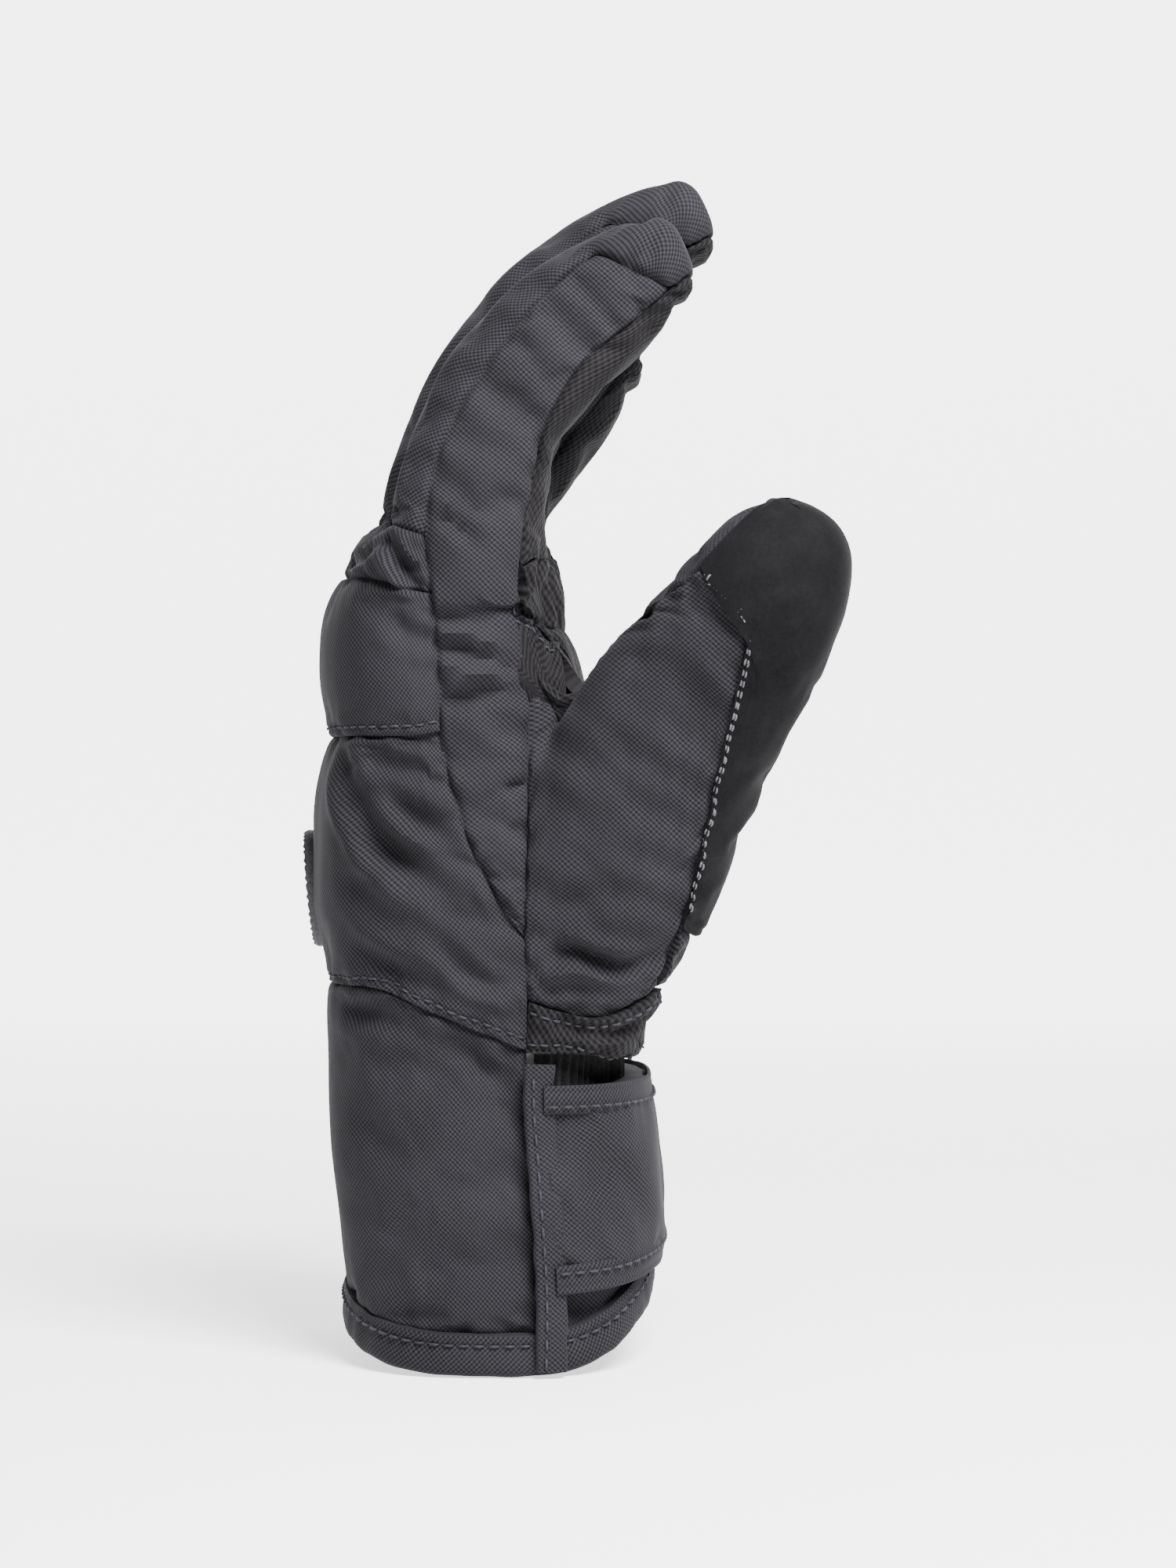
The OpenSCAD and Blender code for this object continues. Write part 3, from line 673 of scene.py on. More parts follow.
def stitch(rides, thread, line, up, long=2.1, gap=0.9, radius=0.32, lift=0.12):
    # a row of stitches: each is a short arched grain of thread that dives into the cloth at both ends
    step = np.concatenate([[0], np.cumsum(np.linalg.norm(np.diff(line, axis=0), axis=1))])
    count = int(step[-1] / (long + gap))
    if count < 1:
        return
    mids = (np.arange(count) + 0.5) * step[-1] / count
    pick = lambda arr, s: np.stack([np.interp(s, step, arr[:, k]) for k in range(3)], -1)
    c, u = pick(line, mids), pick(up, mids)
    t = pick(line, mids + 0.4) - pick(line, mids - 0.4)
    t /= np.linalg.norm(t, axis=1)[:, None]
    u -= t * (u * t).sum(1)[:, None]
    u /= np.linalg.norm(u, axis=1)[:, None]
    b = np.cross(t, u)
    x = np.array([-0.5, -0.38, 0, 0.38, 0.5]) * long
    r = np.array([0.35, 0.85, 1.0, 0.85, 0.35]) * radius
    h = np.array([-1.2, 0.1, 0.55, 0.1, -1.2]) * radius + lift
    turn = np.arange(6) * np.pi / 3
    ring = (u[:, None, None] * np.cos(turn)[None, None, :, None] + b[:, None, None]
            * np.sin(turn)[None, None, :, None]) * r[None, :, None, None]
    points = c[:, None, None] + t[:, None, None] * x[None, :, None, None] + u[:, None, None] * h[None, :,
        None, None] + ring
    side = quadFaces(5, 6, False, wrapCols=True)
    faces = (side[None] + (np.arange(count) * 30)[:, None, None]).reshape(-1, 4)
    caps = np.concatenate([np.arange(6)[None, :] + (np.arange(count) * 30)[:, None],
                           np.arange(29, 23, -1)[None, :] + (np.arange(count) * 30)[:, None]])
    stitchHeap.setdefault((rides, thread), []).append((points.reshape(-1, 3), faces.tolist() + caps.tolist()))


def heapToPieces():
    for (rides, thread), parts in stitchHeap.items():
        points, faces, start = [], [], 0
        for p, f in parts:
            points.append(p)
            faces += [[i + start for i in g] for g in f]
            start += len(p)
        label = "stitches_" + thread + "_" + rides.replace(".", "_")
        piece = addMesh(label, np.concatenate(points), faces, sharp=80)
        attach(piece, rides)
        piece.data.materials.append(materials[thread])


# materials
def fromHex(code):  # sRGB hex to linear: (c + 0.055) / 1.055 to the power 2.4
    c = np.array([int(code[i:i + 2], 16) / 255 for i in (1, 3, 5)])
    linear = np.where(c <= 0.04045, c / 12.92, ((c + 0.055) / 1.055) ** 2.4)
    return (*map(float, linear), 1.0)


def addNode(tree, kind, settings=None, inputs=None):
    node = tree.nodes.new(kind)
    for key, value in (settings or {}).items():
        setattr(node, key, value)
    for key, value in (inputs or {}).items():
        if isinstance(value, bpy.types.NodeSocket):
            tree.links.new(value, node.inputs[key])
        else:
            node.inputs[key].default_value = value
    return node


def maths(tree, operation, *values):
    return addNode(tree, "ShaderNodeMath", {"operation": operation}, dict(enumerate(values))).outputs[0]


def threads(tree, x, y, turn, pitch):  # 0 between threads to 1 on top of each, for rows turned by an angle
    c, s = math.cos(math.radians(turn)), math.sin(math.radians(turn))
    run = maths(tree, "ADD", maths(tree, "MULTIPLY", x, c / pitch), maths(tree, "MULTIPLY", y, s / pitch))
    wave = maths(tree, "SINE", maths(tree, "MULTIPLY", run, 2 * math.pi))
    return maths(tree, "ADD", maths(tree, "MULTIPLY", wave, 0.5), 0.5), run


def clothMaterial(name, cloth):
    material = bpy.data.materials.new(name)
    material.use_nodes = True
    tree = material.node_tree
    tree.nodes.clear()
    shader = addNode(tree, "ShaderNodeBsdfPrincipled", None, {
        "Roughness": cloth.get("roughness", 0.85), "IOR": cloth.get("ior", 1.5),
        "Specular IOR Level": cloth.get("specular", 0.06),
        "Sheen Weight": cloth.get("sheen", 0.06), "Sheen Roughness": 0.45,
        "Sheen Tint": fromHex(cloth.get("sheenTint", "#8a8a90"))})
    out = addNode(tree, "ShaderNodeOutputMaterial", None, {"Surface": shader.outputs[0]})
    place = addNode(tree, "ShaderNodeTexCoord").outputs["Object"]
    low, high, height = cloth["low"], cloth["high"], None
    kind = cloth["kind"]
    if kind in ("twill", "rib"):
        uv = addNode(tree, "ShaderNodeUVMap", {"uv_map": "cloth"}).outputs[0]
        drift = addNode(tree, "ShaderNodeTexNoise", None,
                        {"Vector": uv, "Scale": cloth.get("driftScale", 0.07),
                         "Detail": 2.0}).outputs["Color"]
        uv = addNode(tree, "ShaderNodeVectorMath", {"operation": "ADD"},
                     {0: uv, 1: addNode(tree, "ShaderNodeVectorMath", {"operation": "SCALE"},
                                        {0: drift, "Scale": cloth.get("drift", 1.2)}).outputs[0]}).outputs[0]
        split = addNode(tree, "ShaderNodeSeparateXYZ", None, {0: uv})
        x, y = split.outputs[0], split.outputs[1]
        a, _ = threads(tree, x, y, cloth["turn"], cloth["pitch"])
        b, _ = threads(tree, x, y, -cloth["turn"] + cloth.get("skew", 0),
                       cloth["pitch"] * cloth.get("crossPitch", 1.0))
        height = maths(tree, "ADD", maths(tree, "MULTIPLY", a, cloth.get("mainShare", 0.6)),
                       maths(tree, "MULTIPLY", b, 1 - cloth.get("mainShare", 0.6)))
        fine = addNode(tree, "ShaderNodeTexNoise", None,
                       {"Vector": uv, "Scale": 1.6, "Detail": 3.0}).outputs["Fac"]
        tone = maths(tree, "ADD", maths(tree, "MULTIPLY", height, 0.8), maths(tree, "MULTIPLY", fine, 0.3))
    else:
        fine = addNode(tree, "ShaderNodeTexNoise", None,
                       {"Vector": place, "Scale": 1000 / cloth.get("grain", 0.7), "Detail": 4.0,
                        "Roughness": 0.65}).outputs["Fac"]
        height = fine
        tone = fine
        if kind == "nap":
            blotch = addNode(tree, "ShaderNodeTexNoise", None,
                             {"Vector": place, "Scale": 1000 / 6.0, "Detail": 3.0}).outputs["Fac"]
            tone = maths(tree, "ADD", maths(tree, "MULTIPLY", fine, 0.55),
                         maths(tree, "MULTIPLY", blotch, 0.5))
    wear = addNode(tree, "ShaderNodeTexNoise", None,
                   {"Vector": place, "Scale": 1000 / 28.0, "Detail": 2.0}).outputs["Fac"]
    tone = maths(tree, "ADD", tone, maths(tree, "MULTIPLY", maths(tree, "SUBTRACT", wear, 0.5),
                                          cloth.get("uneven", 0.35)))
    ramp = addNode(tree, "ShaderNodeValToRGB", None, {0: tone})
    ramp.color_ramp.elements[0].position, ramp.color_ramp.elements[0].color = cloth.get("from",
        0.15), fromHex(low)
    ramp.color_ramp.elements[1].position, ramp.color_ramp.elements[1].color = cloth.get("to",
        0.95), fromHex(high)
    tree.links.new(ramp.outputs[0], shader.inputs["Base Color"])
    bump = addNode(tree, "ShaderNodeBump", None, {"Height": height, "Strength": cloth.get("bump", 0.5),
                                                  "Distance": cloth.get("deep", 0.12) * 0.001})
    tree.links.new(bump.outputs[0], shader.inputs["Normal"])
    return material


materials = {
    # dyed twill: a fine diamond weave at a given pitch; matt, a little violet
    "shell": clothMaterial("polyamideTwillWoven", {"kind": "twill", "low": "#09090a", "high": "#29282c",
                                                   "turn": 48, "pitch": 0.85, "mainShare": 0.6,
                                                   "sheen": 0.06, "bump": 0.35, "deep": 0.12}),
    # coarse grip cloth: ribs at a given pitch; neutral and darker
    "palm": clothMaterial("polyesterBasketWoven", {"kind": "rib", "low": "#070708", "high": "#211f21",
                                                   "turn": 35, "pitch": 1.35, "crossPitch": 0.9,
                                                   "mainShare": 0.65, "sheen": 0.05, "bump": 0.8,
                                                   "deep": 0.3}),
    # napped synthetic suede: no weave, a soft broken grain
    "suede": clothMaterial("microfibreSuedeNapped",
                           {"kind": "nap", "low": "#060607", "high": "#131314", "grain": 0.9, "sheen": 0.06,
                            "bump": 0.5, "deep": 0.18, "from": 0.3, "to": 0.85}),
    # folded twill tape round raw edges
    "binding": clothMaterial("polyamideTapeWoven",
                             {"kind": "grain", "low": "#242329", "high": "#504f55", "grain": 0.8,
                              "sheen": 0.06, "bump": 0.6, "deep": 0.15, "from": 0.3, "to": 0.75}),
    # brushed fleece lining: open, fuzzy and soft
    "fleece": clothMaterial("polyesterFleeceBrushed",
                            {"kind": "nap", "low": "#222224", "high": "#4a4a4d", "grain": 1.8, "sheen": 0.16,
                             "bump": 1.0, "deep": 0.6, "from": 0.3, "to": 0.8}),
    # quilted insulation wadding, off-white and fibrous
    "wadding": clothMaterial("polyesterWaddingCarded",
                             {"kind": "nap", "low": "#8d8c88", "high": "#c9c8c4", "grain": 2.5,
                              "sheen": 0.10, "bump": 1.0, "deep": 0.6}),
    # open-cell foam behind the knuckles
    "foam": clothMaterial("polyurethaneFoamCut", {"kind": "grain", "low": "#4a4a48", "high": "#7c7c78",
                                                  "grain": 1.2, "bump": 1.0, "deep": 0.4}),
    # black covered elastic at the wrist
    "elastic": clothMaterial("elasticBraided", {"kind": "grain", "low": "#0e0e0f", "high": "#222224",
                                                "grain": 0.8, "bump": 0.8, "deep": 0.2, "from": 0.3,
                                                "to": 0.8}),
    # loop and hook closure tapes
    "loop": clothMaterial("polyamideLoopTape", {"kind": "nap", "low": "#101011", "high": "#2c2c2e",
                                                "grain": 1.1, "sheen": 0.14, "bump": 1.0, "deep": 0.5}),
    "hook": clothMaterial("polyamideHookTapeMoulded",
                          {"kind": "grain", "low": "#0d0d0e", "high": "#26262a", "grain": 1.3,
                           "roughness": 0.5, "bump": 1.0, "deep": 0.5}),
    # embroidered plain badge with an overlocked rim
    "badge": clothMaterial("viscoseEmbroideryStitched",
                           {"kind": "grain", "low": "#232325", "high": "#4a4a4d", "grain": 0.9,
                            "roughness": 0.6, "bump": 0.8, "deep": 0.25}),
    # spun polyester sewing thread, dark on the shell and lighter on the suede
    "darkThread": clothMaterial("polyesterThreadSpun",
                                {"kind": "grain", "low": "#1c1c20", "high": "#34343a", "grain": 0.5,
                                 "roughness": 0.6, "from": 0.3, "to": 0.7}),
    "lightThread": clothMaterial("polyesterThreadSpunGrey",
                                 {"kind": "grain", "low": "#3a393e", "high": "#605f66", "grain": 0.5,
                                  "roughness": 0.55, "from": 0.3, "to": 0.7}),
}
print("materials ready")


# seams
indexOnly = gloveField(("index",), thumb=False)
indexBackXz = [(21.6, 257.9), (5.9, 242.5), (-8.3, 222.3), (-13.9, 210.2), (-15.8, 201.6), (-16.6, 190.3),
               (-14.8, 177.3), (-13.5, 159.3), (-13.1, 146.7), (-10.8, 135.9), (-6.3, 121.5), (0.9, 107.1),
               (5.4, 100.6)]
indexPalmXz = [(41.4, 247.9), (29.7, 240.3), (19.8, 232.2), (11.7, 218.7), (9, 207.9), (5.9, 189.9),
               (5.6, 171.9), (7.7, 156.6), (7.4, 135.9), (6.9, 117.9), (6.6, 100.6)]
vSeamXz = [(7.7, 156.6), (7.4, 135.9), (6.9, 117.9), (6.3, 99.9), (6.7, 87), (6.6, 74.6)]
knuckleHighXz, knuckleLowXz, rootXz = (-15.6, 179.5), (-13.2, 147.5), (-16.6, 193)


def cutLine(line, axis, level):  # index of the point of a line that is nearest a level
    return int(np.argmin(np.abs(line[:, axis] - level)))


indexBack = seamOnSide(indexBackXz, 160, indexOnly)
tipCorner = fromFinger(82.4, -9.4, 0, fingerShapes["index"])
indexPalm = seamOnSide([(tipCorner[0], tipCorner[2])] + indexPalmXz[1:], 160, indexOnly)
vSeam = seamOnSide(vSeamXz, 80, whole)
kRoot, kHigh, kLow = (cutLine(indexBack, 2, z) for z in (193.0, 179.5, 147.5))

walls = {"backSeam": [(-3, 7.3), (8.1, 7.2), (16, 8.2), (28.2, 7.9), (51, 7.4), (62, 7.9), (71.2, 8.2)],
         "palmSeam": [(-3, -15.2), (8, -14.8), (22, -13.8), (34.7, -11.6), (52.5, -10.2), (67, -10.8),
                      (82.4, -9.4)]}
fingerSeams = {}
for name, f in fingerShapes.items():
    length, half = fingerLength(f), f["width"] / 2
    own = lambda p, f=f: fingerDistance(p, f)
    seam = {}
    for which in ("near", "far"):
        side = -half if which == "near" else half
        for key, pairs in (("back", walls["backSeam"]), ("palm", walls["palmSeam"])):
            s, off = np.array(pairs).T
            seam[key + which] = toSkin(smoothLine(fromFinger(s / 86 * length, off, side, f), 90), own, 5)
    if name == "index":
        seam["backnear"], seam["palmnear"] = indexBack[:kRoot
                                                       + 1][::-1], indexPalm[:cutLine(indexPalm, 2, 186)
                                                           + 1][::-1]
    for which in ("near", "far"):
        ends = np.linspace(seam["back" + which][-1], seam["palm" + which][-1], 20)
        seam["end" + which] = toSkin(ends, own, 5)
    fingerSeams[name] = seam
print("seams ready")

# creases that run between the seams: (x, height) points, depth and width
creases = [
    ([(-14.5, 198), (-9, 194.5), (-4, 190)], -1.3, 1.9), ([(-15.5, 169), (-8, 166), (2.5, 163)], -1.6, 2.0),
    ([(-13, 153), (-4, 157), (6, 156)], -1.5, 2.0), ([(1.5, 134), (7, 136)], -1.0, 1.3),
    ([(-2, 148), (5, 145)], -0.5, 1.6),
    ([(-26, 193), (-22, 186), (-17, 179)], -1.8, 1.7), ([(-26, 175), (-20, 170), (-14, 167)], -1.1, 2.4),
    ([(-36, 187), (-30, 189), (-24, 193)], -0.9, 1.6),
    ([(-35.5, 144), (-32, 131), (-21, 116), (-8, 107)], -2.2, 3.2),
    ([(-30, 135), (-19, 128), (-8, 121)], -1.3, 2.4),
    ([(-33, 98), (-22, 92.5), (-12, 90)], -1.4, 2.8), ([(-14, 100), (-6, 92), (4, 88)], -1.4, 2.2),
    ([(-4, 117), (0, 109), (3, 104)], -0.7, 1.6),
    ([(-34, 113), (-26, 106), (-12, 103)], -0.8, 3.0), ([(-37, 83), (-26, 81), (-14, 76)], -0.9, 2.4),
    ([(-12, 78), (-4, 70), (4, 66)], -0.8, 2.2),
    ([(11, 145), (19, 141), (28, 138)], -0.9, 3.4), ([(10, 104), (19, 110), (31, 111)], -0.9, 3.0),
    ([(10, 94), (17, 97.5), (27, 95), (38, 96)], -1.9, 2.0),
    ([(9, 88), (17, 89.5), (26, 88)], -1.1, 1.7), ([(35, 168), (42, 160), (47, 150)], -0.5, 3.4),
    ([(16, 120), (24, 128), (38, 130)], -0.4, 3.6),
    ([(-30, 30), (-10, 26), (4, 30)], -0.35, 5.0), ([(-33, 58), (-18, 50), (2, 52)], -0.4, 5.0),
    ([(14, 80.5), (22, 78.5), (31, 79.5)], -1.4, 1.5),
]
for line, depth, width in creases:
    folds.append((seamOnSide(line, 16, whole), depth * 1.35, width))

# the back of the hand
def skinPoints(points):
    return toSkin(np.asarray(points, float), whole, 8)


def backCurve(zs, angle):
    return handPoint(np.linspace(*zs, 40), angle)


farBack = np.vstack([handPoint(z, a)[None] for z, a in [(147.5, 272), (136, 271), (122, 269.5), (107, 265.5),
                                                        (100.6, 261.7)]])
farLow = handPoint(np.linspace(98, 74.6, 6), 261)
rows = 74
nearEdge = np.vstack([indexBack[kLow:], vSeam[cutLine(vSeam, 2, 99.0):]])
lowerBack = patch([nearEdge, backCurve((147.2, 83.5), 79), backCurve((147, 88.6), 60),
                   backCurve((147, 89), 36), backCurve((147, 89), 12),
                   backCurve((147, 89), -12), backCurve((147, 89), -36), backCurve((147, 88.6), -60),
                   backCurve((147.2, 83.5), -79),
                   np.vstack([farBack, farLow])], rows, 96, whole)
padAngles = (78, 60, 36, 12, -12, -36, -60, -78)
padTop = table([(-88, 168), (-70, 170), (-45, 176), (-15, 183), (10, 185), (60, 183), (75, 181.5),
                (88, 179.5)])
knucklePad = patch([indexBack[kHigh:kLow + 1]] + [backCurve((float(padTop(a)), 147), a) for a in padAngles]
                   + [handPoint(np.linspace(168, 147.5, 12), 272)], 34, 96, whole)
rootLine = []
for name, f in fingerShapes.items():
    half = f["width"] / 2
    for v, s in ((-0.9, -1.2), (-0.5, 1.6), (0, 2.6), (0.5, 1.6), (0.9, -1.2)):
        off = backDepth(0) - (2.5 if abs(v) > 0.8 else 0.0)
        rootLine.append(fromFinger(s, off, v * half, f))
rootLine[0] = indexBack[kRoot]
rootLine[-1] = fingerSeams["little"]["backfar"][6]
rootLine = skinPoints(smoothLine(np.array(rootLine), 120))
rootLine[0] = indexBack[kRoot]
yokeLow = knucklePad[0]
yokeMid = skinPoints(0.5 * evenly(yokeLow, 120) + 0.5 * rootLine + np.array([-4.0, 0, 0]))
yokeMid[0] = indexBack[(kRoot + kHigh) // 2]
yoke = patch([rootLine, yokeMid, evenly(yokeLow, 120)], 120, 18, whole).swapaxes(0, 1)

panel("lowerBack", lowerBack, whole, {
    "rides": "hand", "replaces": ["back_panel"], "cut": "round",
    "edges": {"first": "seam", "last": "seam", "start": "under", "end": "over"},
    "slack": 0.045, "pressure": 0.25, "cap": 2.2, "crown": 0.5, "seed": 3, "uneven": 0.4})
panel("knucklePad", knucklePad, whole, {
    "rides": "hand", "replaces": ["knuckle_panel"], "cut": "round",
    "edges": {"first": "seam", "last": "seam", "start": "seam", "end": "over"},
    "slack": 0.02, "pressure": 1.0, "cap": 1.2, "crown": 1.5, "seed": 4, "soft": "padded", "fill": 0.8,
    "uneven": 0.3})
panel("yoke", yoke, whole, {
    "rides": "hand", "replaces": ["yoke_panel"], "cut": "round",
    "edges": {"first": "seam", "last": "seam", "start": "seam", "end": "seam"},
    "slack": 0.05, "pressure": 0.0, "cap": 1.2, "crown": 0.1, "seed": 5, "puckerStep": 5.0, "pucker": 0.5})
print("back of the hand ready")

# fingers
for name, f in fingerShapes.items():
    length, half, seam = fingerLength(f), f["width"] / 2, fingerSeams[name]
    own = lambda p, f=f: fingerDistance(p, f)
    ownHand = gloveField((name,), thumb=False)
    tip = fingerForm["tipAt"]
    n1, n2, n3 = 62, 22, 56
    a = rootLine[np.argmin(np.abs(rootLine[:, 1] - (f["root"][1]
                                                    - half)))] if name != "index" else rootLine[0]
    curves = [np.vstack([evenly(seam["backnear"], n1), evenly(seam["endnear"], n2)[1:]])]
    for g in (-0.78, -0.45, 0, 0.45, 0.78):
        s = np.linspace(2.6 - 3.5 * abs(g) ** 3, 0.83 * length, 30)
        lead = evenly(fromFinger(s, backDepth(s / length) + 1.5, g * half, f), n1)
        over = smoothLine(fromFinger([0.83 * length, 0.94 * length, length + tip - 1, length + tip + 1.5,
                                      length + tip + 1.5, length + tip - 1.0],
                                     [backDepth(0.83) + 1, backDepth(0.94) + 1, backDepth(1.0) + 0.5, 4.0,
                                      -4.0, -8.8], g * half, f), n2)
        curves.append(np.vstack([lead, over[1:]]))
    curves.append(np.vstack([evenly(seam["backfar"], n1), evenly(seam["endfar"], n2)[1:]]))
    strip = patch(curves, n1 + n2 - 1, 36, ownHand)
    start = strip[0].copy()
    if name != "index":
        near = rootLine[np.abs(rootLine[:, 1] - f["root"][1]) < half * 1.02]
        strip[0] = evenly(near, 36) * 0.9 + start * 0.1 if len(near) > 4 else start
    tipRow = strip[-1]
    palmCurves = [np.vstack([tipRow[:1], seam["palmnear"][::-1][1:]])]
    for k, g in ((6, -0.7), (12, -0.35), (17, 0), (23, 0.35), (29, 0.7)):
        s = np.linspace(length - 1, -1.5, 30)
        palmCurves.append(np.vstack([tipRow[k][None],
                                     fromFinger(s, -palmDepth(s / length) - 1.0, g * half, f)]))
    palmCurves.append(np.vstack([tipRow[-1:], seam["palmfar"][::-1][1:]]))
    palm = patch(palmCurves, n3, 34, ownHand)
    palm[0] = evenly(tipRow, 34)
    replaced = lambda part: {"base": [f"{name}_base_{part}"], "end": [f"{name}_end_{part}"]}
    splitRow = int(np.argmin(np.abs(toFinger(strip[:, 18], f)[0] - splitAt[name])))
    panel(name + "Back", strip, ownHand, {
        "rides": name, "replaces": replaced("back"),
        "edges": {"first": "seam", "last": "seam", "start": "seam", "end": "seam"},
        "slack": 0.04, "pressure": 0.5, "cap": 1.3, "crown": 0.5, "seed": 11 + len(name),
        "splitRow": splitRow, "uneven": 0.25})
    splitRow = int(np.argmin(np.abs(toFinger(palm[:, 17], f)[0] - splitAt[name])))
    panel(name + "Palm", palm, ownHand, {
        "rides": name, "replaces": replaced("palm"),
        "edges": {"first": "seam", "last": "seam", "start": "none", "end": "none"},
        "slack": 0.05, "pressure": 0.5, "cap": 1.4, "crown": 0.5, "seed": 21 + len(name), "material": "palm",
        "slot": "palm_cloth",
        "splitRow": splitRow, "tipFirst": True, "uneven": 0.25})
    for which in ("near", "far"):
        full = (name, which) in (("index", "near"), ("little", "far"))
        back, pal = seam["back" + which][::-1], seam["palm" + which][::-1]
        if name == "index" and which == "near":
            back, pal = indexBack, indexPalm
        elif full:
            back = np.vstack([back[:-8], handPoint([165, 147, 136, 122, 107, 100.6],
                                                   [272, 272, 271, 269.5, 265.5, 261.8])])
            pal = np.vstack([pal[:-8], handPoint([165, 156, 136, 118, 100.6], [236, 238, 248, 259, 260.6])])
        field = ownHand if full else own
        count = 118 if full else 62
        side = patch([evenly(back, count), evenly(pal, count)], count, 20, field)
        along = toFinger(side[:, 10], f)[0]
        splitRow = int(np.argmin(np.abs(along - splitAt[name])))
        parts = replaced("walls") if which == "near" or name == "index" else {"base": [], "end": []}
        if full:
            parts = {"base": ["index_gusset" if name == "index" else "little_gusset"], "end": []}
        if name == "index" and which == "far":
            parts = replaced("walls")
        if name == "little" and which == "near":
            parts = replaced("walls")
        panel(name + ("Side" if full else "Wall" + which.capitalize()), side, field, {
            "rides": name, "replaces": parts, "edges": {"first": "seam", "last": "seam", "start": "seam",
                                                        "end": "none"},
            "slack": 0.05 if full else 0.02, "pressure": 0.4, "cap": 1.5 if full else 0.4,
            "crown": 0.4 if full else -0.3, "seed": 31 + len(name),
            "splitRow": splitRow, "tipFirst": True, "uneven": 0.3 if full else 0.0,
            "pucker": 0.4 if full else 0.1, "cut": "flat"})
    print(name, "finger ready")

# palm, crotch and wrist
def palmCurve(z0, z1, angle, count=30):
    return handPoint(np.linspace(z0, z1, count), angle)


farSide = handPoint([190, 177, 165, 156, 136, 118, 100, 88], [234, 234.5, 236, 238, 248, 259, 260.7, 261])
palmRoot = [indexPalm[cutLine(indexPalm, 2, 188)]]
for name, f in fingerShapes.items():
    for v, s in ((-0.85, -4.0), (-0.4, -1.5), (0.4, -1.5), (0.85, -4.0)):
        palmRoot.append(fromFinger(s, -palmDepth(0) + (2.0 if abs(v) > 0.8 else 0), v * f["width"] / 2, f))
palmRoot[-1] = farSide[0]
palmRoot = skinPoints(smoothLine(np.array(palmRoot), 100))
palmRoot[0] = indexPalm[cutLine(indexPalm, 2, 188)]
palmMidLine = skinPoints(smoothLine(np.vstack([indexPalm[cutLine(indexPalm, 2, 173.5)][None],
                                               [[15.5, -40, 174]], [[17, -20, 172]], [[17.5, 0, 172]],
                                               [[16.5, 25, 172]], handPoint([172], [235.2])]), 100))
palmTop = patch([palmRoot, 0.5 * (palmRoot + palmMidLine) + np.array([2.0, 0, 0]), palmMidLine], 100, 20,
                whole).swapaxes(0, 1)
palmThumb = np.array([[19.5, -38, 168], [20.5, -30, 160], [24, -24, 148], [27, -22, 135], [30, -21, 120],
                      [33, -22, 105], [35, -26, 94], [36, -30, 88]])
palmMain = patch([np.vstack([palmMidLine[12][None], palmThumb[1:]]), palmCurve(172, 88, 180),
                  palmCurve(172, 88, 200), palmCurve(172, 88, 218),
                  palmCurve(172, 88, 232), farSide[2:]], 70, 62, whole)
panel("palmUpper", palmTop, whole, {
    "rides": "hand", "replaces": ["finger_root_panel"], "cut": "round",
    "edges": {"first": "seam", "last": "seam", "start": "none", "end": "seam"},
    "slack": 0.08, "pressure": 0.8, "cap": 2.2, "crown": 0.9, "seed": 41, "material": "palm",
    "slot": "palm_cloth", "uneven": 0.5, "restsOn": ["insulation_palm"]})
panel("palm", palmMain, whole, {
    "rides": "hand", "replaces": ["palm_panel"], "cut": "round",
    "edges": {"first": "seam", "last": "seam", "start": "seam", "end": "under"},
    "slack": 0.06, "pressure": 0.6, "cap": 2.4, "crown": 0.8, "seed": 42, "material": "palm",
    "slot": "palm_cloth", "uneven": 0.6, "restsOn": ["insulation_palm"]})
crotchHigh = skinPoints(smoothLine([(5.7, -51.4, 174.0), (12, -48, 173.5), (17, -43, 172.5),
                                    (19, -36, 171.5), (19.5, -30, 170), (20.5, -24, 167)], 40))
crotchLow = skinPoints(smoothLine([(7.6, -51.4, 157.4), (13, -51, 158), (19, -48.5, 158.6), (24, -42, 158.5),
                                   (25, -34, 158), (23.5, -26, 156)], 40))
crotch = patch([crotchHigh, skinPoints(0.5 * (crotchHigh + crotchLow)), crotchLow], 40, 16,
               whole).swapaxes(0, 1)
panel("crotchPatch", crotch, whole, {
    "rides": "thumbRoot", "replaces": [], "edges": {"first": "seam", "last": "seam", "start": "over",
                                                    "end": "seam"},
    "slack": 0.05, "pressure": 0.5, "cap": 1.2, "crown": 0.6, "seed": 43, "material": "palm",
    "slot": "palm_cloth", "off": 0.4, "restsOn": ["insulation_palm"]})
print("palm ready")

# thumb
frontTopXz = [(7.7, 156.6), (17.2, 157.6), (23, 164.5), (30.5, 172.3), (39, 179.5), (46.4, 185.0)]
suedeXz = [(46.4, 185.0), (52, 180), (56.2, 174.1), (56.3, 168), (55.3, 162.5), (52.6, 150.1), (48.2, 128.8),
           (43.8, 108.4), (39.5, 96), (37.2, 88.5)]
frontTop = seamOnSide(frontTopXz, 60, whole)
suedeSeam = seamOnSide(suedeXz, 90, whole)
mids = []
for top, middle, low in (((17.2, 157.8), [(16.5, 140), (15.5, 120), (14.5, 100)], (14.5, 83.6)),
                         ((30.5, 172.3), [(30.5, 155), (28, 130), (24.5, 105)], (23, 82)),
                         ((39, 179.5), [(43, 165), (39.5, 137), (34, 108)], (31, 84.6))):
    mids.append(seamOnSide([top, *middle, low], 70, whole))
thumbFront = patch([evenly(vSeam[:cutLine(vSeam, 2, 85.6) + 1], 78)] + [evenly(m, 78) for m in mids]
                   + [evenly(suedeSeam, 78)], 78, 56, whole)
